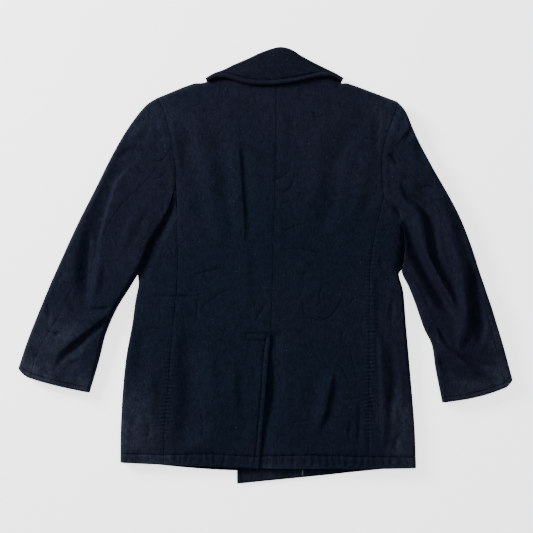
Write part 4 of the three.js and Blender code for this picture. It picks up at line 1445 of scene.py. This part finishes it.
def drawn_lines(graph, start, noise):
    """How dark the seams, the stitches and the creases are drawn: painted shade in their grooves, also used
    as their depth in the bump.
    """
    seam = graph.ramp(start.outputs["Seam"], 0.3, SEAM_LINE, 1.0, 0.0)
    dashes = graph.ramp(noise["dashes"], 0.35, 0.6, 0.45, 1.0)
    stitch = graph.ramp(graph.math("ABSOLUTE", start.outputs["Stitch"]), 0.3, STITCH_LINE, 1.0, 0.0)
    crease = graph.ramp(graph.math("ABSOLUTE", start.outputs["Crease"]), 0.2, CREASE_LINE, 1.0, 0.0)
    line = graph.larger(graph.times(seam, SEAM_PAINTED_SHADE),
                        graph.times(graph.times(stitch, dashes), STITCH_PAINTED_SHADE))
    return graph.larger(line, graph.times(crease, CREASE_PAINTED_SHADE))


def gathered_ridges(graph, where, start, noise):
    """Short ridges across a side seam whose stitches gather the cloth."""
    parts = graph.nodes.new("ShaderNodeSeparateXYZ")
    graph.join(where, parts.inputs[0])
    phase = graph.plus(graph.times(parts.outputs["Y"], RUNGS_PER_METRE),
                       graph.times(noise["wobble"], RUNG_WOBBLE))
    return graph.times(graph.math("SINE", phase), graph.times(start.outputs["Ladder"], RUNG_RISE))


def wool_group():
    told = [("Where", "NodeSocketVector", None)]
    told += [(name, "NodeSocketFloat", FAR) for name in ("Seam", "Stitch", "Crease")]
    told += [("Ladder", "NodeSocketFloat", 0.0)]
    given = [("Colour", "NodeSocketColor"), ("Roughness", "NodeSocketFloat"), ("Height", "NodeSocketFloat")]
    group, start, end = new_group("navy wool", told, given)
    graph = Graph(group)
    where = start.outputs["Where"]
    noise = {name: graph.noise(where, *settings) for name, settings in NOISES.items()}

    specks = lint_specks(graph, where)
    line = drawn_lines(graph, start, noise)
    colour = wool_tone(graph, where, noise, wool_colour(graph, where, noise))
    colour = graph.blend(graph.times(specks, LINT_SHARE), colour, LINT)
    # Painted shade along the seams, the stitch rows and the creases
    colour = graph.blend(line, colour, PAINTED_SHADE_DARK)

    height = graph.plus(graph.times(noise["felt"], 0.55), graph.times(noise["grain"], 0.45))
    height = graph.plus(height, graph.times(noise["fibre"], 0.30))
    height = graph.plus(height, graph.times(specks, 0.4))
    height = graph.math("SUBTRACT", height, graph.times(line, LINE_DEPTH))
    height = graph.plus(height, gathered_ridges(graph, where, start, noise))

    graph.join(colour, end.inputs["Colour"])
    graph.join(graph.ramp(noise["patch"], 0.3, 0.7, *WOOL_ROUGHNESS), end.inputs["Roughness"])
    graph.join(height, end.inputs["Height"])
    return group


def new_material(name):
    """A material with its shader, its graph and the object's own coordinates."""
    material = bpy.data.materials.new(name)
    material.use_nodes = True
    graph = Graph(material.node_tree)
    place = graph.nodes.new("ShaderNodeTexCoord").outputs["Object"]
    return material, material.node_tree.nodes["Principled BSDF"], graph, place


def wool_cloth():
    material, shader, graph, place = new_material("navy wool cloth")
    wool = graph.nodes.new("ShaderNodeGroup")
    wool.node_tree = wool_group()
    graph.join(place, wool.inputs["Where"])
    for mark in ("seam", "stitch", "crease", "ladder"):
        told = graph.nodes.new("ShaderNodeAttribute")
        told.attribute_name = mark
        graph.join(told.outputs["Fac"], wool.inputs[mark.capitalize()])
    bump = graph.nodes.new("ShaderNodeBump")
    bump.inputs["Strength"].default_value = BUMP_STRENGTH
    bump.inputs["Distance"].default_value = BUMP_DISTANCE
    graph.join(wool.outputs["Height"], bump.inputs["Height"])
    for socket, value in (("Base Color", wool.outputs["Colour"]), ("Roughness", wool.outputs["Roughness"]),
                          ("Normal", bump.outputs["Normal"]), *WOOL_SHEEN.items()):
        graph.join(value, shader.inputs[socket])
    return material


def plain_material(name, colour, roughness, noise_scale, noise_share):
    material, shader, graph, place = new_material(name)
    cloud = graph.noise(place, noise_scale, 4.0, 0.6)
    darker = tuple(part * (1 - noise_share) for part in colour[:3]) + (1,)
    rougher = min(1.0, roughness * 1.25)
    graph.join(graph.blend(graph.ramp(cloud, 0.3, 0.7), darker, colour), shader.inputs["Base Color"])
    graph.join(graph.ramp(cloud, 0.3, 0.7, roughness, rougher), shader.inputs["Roughness"])
    return material


# Making the coat

wool = wool_cloth()
button_black = plain_material("black button", BUTTON_BLACK, roughness=0.32, noise_scale=180.0,
                              noise_share=0.35)


def add_cloth(node, panel, middle=MIDDLE_LEVEL, wall=WALL):
    points, marks = panel
    piece = grid_mesh(f"{node}_cloth", points, marks, middle, wall)
    piece.data.materials.append(wool)
    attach(piece, "root")
    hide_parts(node)


for side, half in HALVES.items():
    add_cloth(f"back_{side}", back_panel(half, underlap=side == "right"))
for side, half in HALVES.items():
    add_cloth(f"side_{side}", side_panel(half))
add_cloth("front_left", front_panel(HALVES["left"], FRONTS["left"], left_front_height))
add_cloth("front_right", front_panel(HALVES["right"], FRONTS["right"], right_front_height))
add_cloth("facing_right", flat_panel(FACING, 2 * LAYER_STEP + FACING_WALL, FACING_STEP),
          middle=0.0, wall=FACING_WALL)
for side, lapel in LAPELS.items():
    corners = (lapel["edge"][0], lapel["roll"][0], lapel["edge"][1], lapel["roll"][1])
    add_cloth(f"lapel_{side}", flat_panel(corners, 0.0, LAPEL_STEP))
for side, half in HALVES.items():
    add_cloth(f"sleeve_{side}_top", sleeve_panel(half, True))
    add_cloth(f"sleeve_{side}_under", sleeve_panel(half, False))

add_cloth("collar_fall", collar_fall(), COLLAR_MIDDLE_LEVEL)
stand_shares = even(STAND_SHARES[0], STAND_SHARES[1], STAND_STEPS)
outer, way, _, reach = collar_row(stand_shares)
stand_ends = np.stack([(outer + way * reach[:, None])[:, 0], np.full(len(stand_shares), STAND_END)], -1)
stand_low = plain_height(stand_ends[:, 1]) / 2 - LAYER_STEP
add_cloth("collar_stand", collar_under(stand_shares, stand_ends, COLLAR_LOW, stand_low), COLLAR_MID)
for side, shape in COLLAR_ENDS.items():
    shares = even(shape["from"], shape["to"], COLLAR_END_STEPS)
    tips = mix(np.array(shape["point"], float), np.array(shape["inner"], float),
               even(0, 1, COLLAR_END_STEPS))
    add_cloth(f"collar_end_{side}", collar_under(shares, tips, 0.0, 0.0), COLLAR_MID)

for number in range(1, 7):
    for slot in bpy.data.objects[f"button_{number}"].material_slots:
        slot.material = button_black


# Floor and light

def add_floor():
    mesh = bmesh.new()
    bmesh.ops.create_grid(mesh, x_segments=1, y_segments=1, size=FLOOR_HALF)
    bmesh.ops.translate(mesh, verts=mesh.verts, vec=(0, 0, -FLOOR_DROP))
    floor = mesh_object("floor", mesh)
    paper = plain_material("pale floor", PAPER, roughness=0.8, noise_scale=2.0, noise_share=0.01)
    shader = paper.node_tree.nodes["Principled BSDF"]
    shader.inputs["Emission Color"].default_value = (1, 1, 1, 1)
    shader.inputs["Emission Strength"].default_value = FLOOR_GLOW
    floor.data.materials.append(paper)


def add_light(name, place, size, power, colour):
    """A soft light that points at the coat's middle."""
    light = bpy.data.lights.new(name, "AREA")
    light.shape = "RECTANGLE"
    light.size, light.size_y = size
    light.energy = power
    light.color = colour
    lamp = new_object(name, light)
    lamp.location = place
    lamp.rotation_euler = (-Vector(place)).to_track_quat("-Z", "Y").to_euler()


def add_world():
    world = bpy.data.worlds.new("studio")
    world.use_nodes = True
    background = world.node_tree.nodes["Background"]
    background.inputs["Color"].default_value = SKY
    background.inputs["Strength"].default_value = SKY_STRENGTH
    bpy.context.scene.world = world


add_floor()
for name, settings in LIGHTS.items():
    add_light(name, **settings)
add_world()
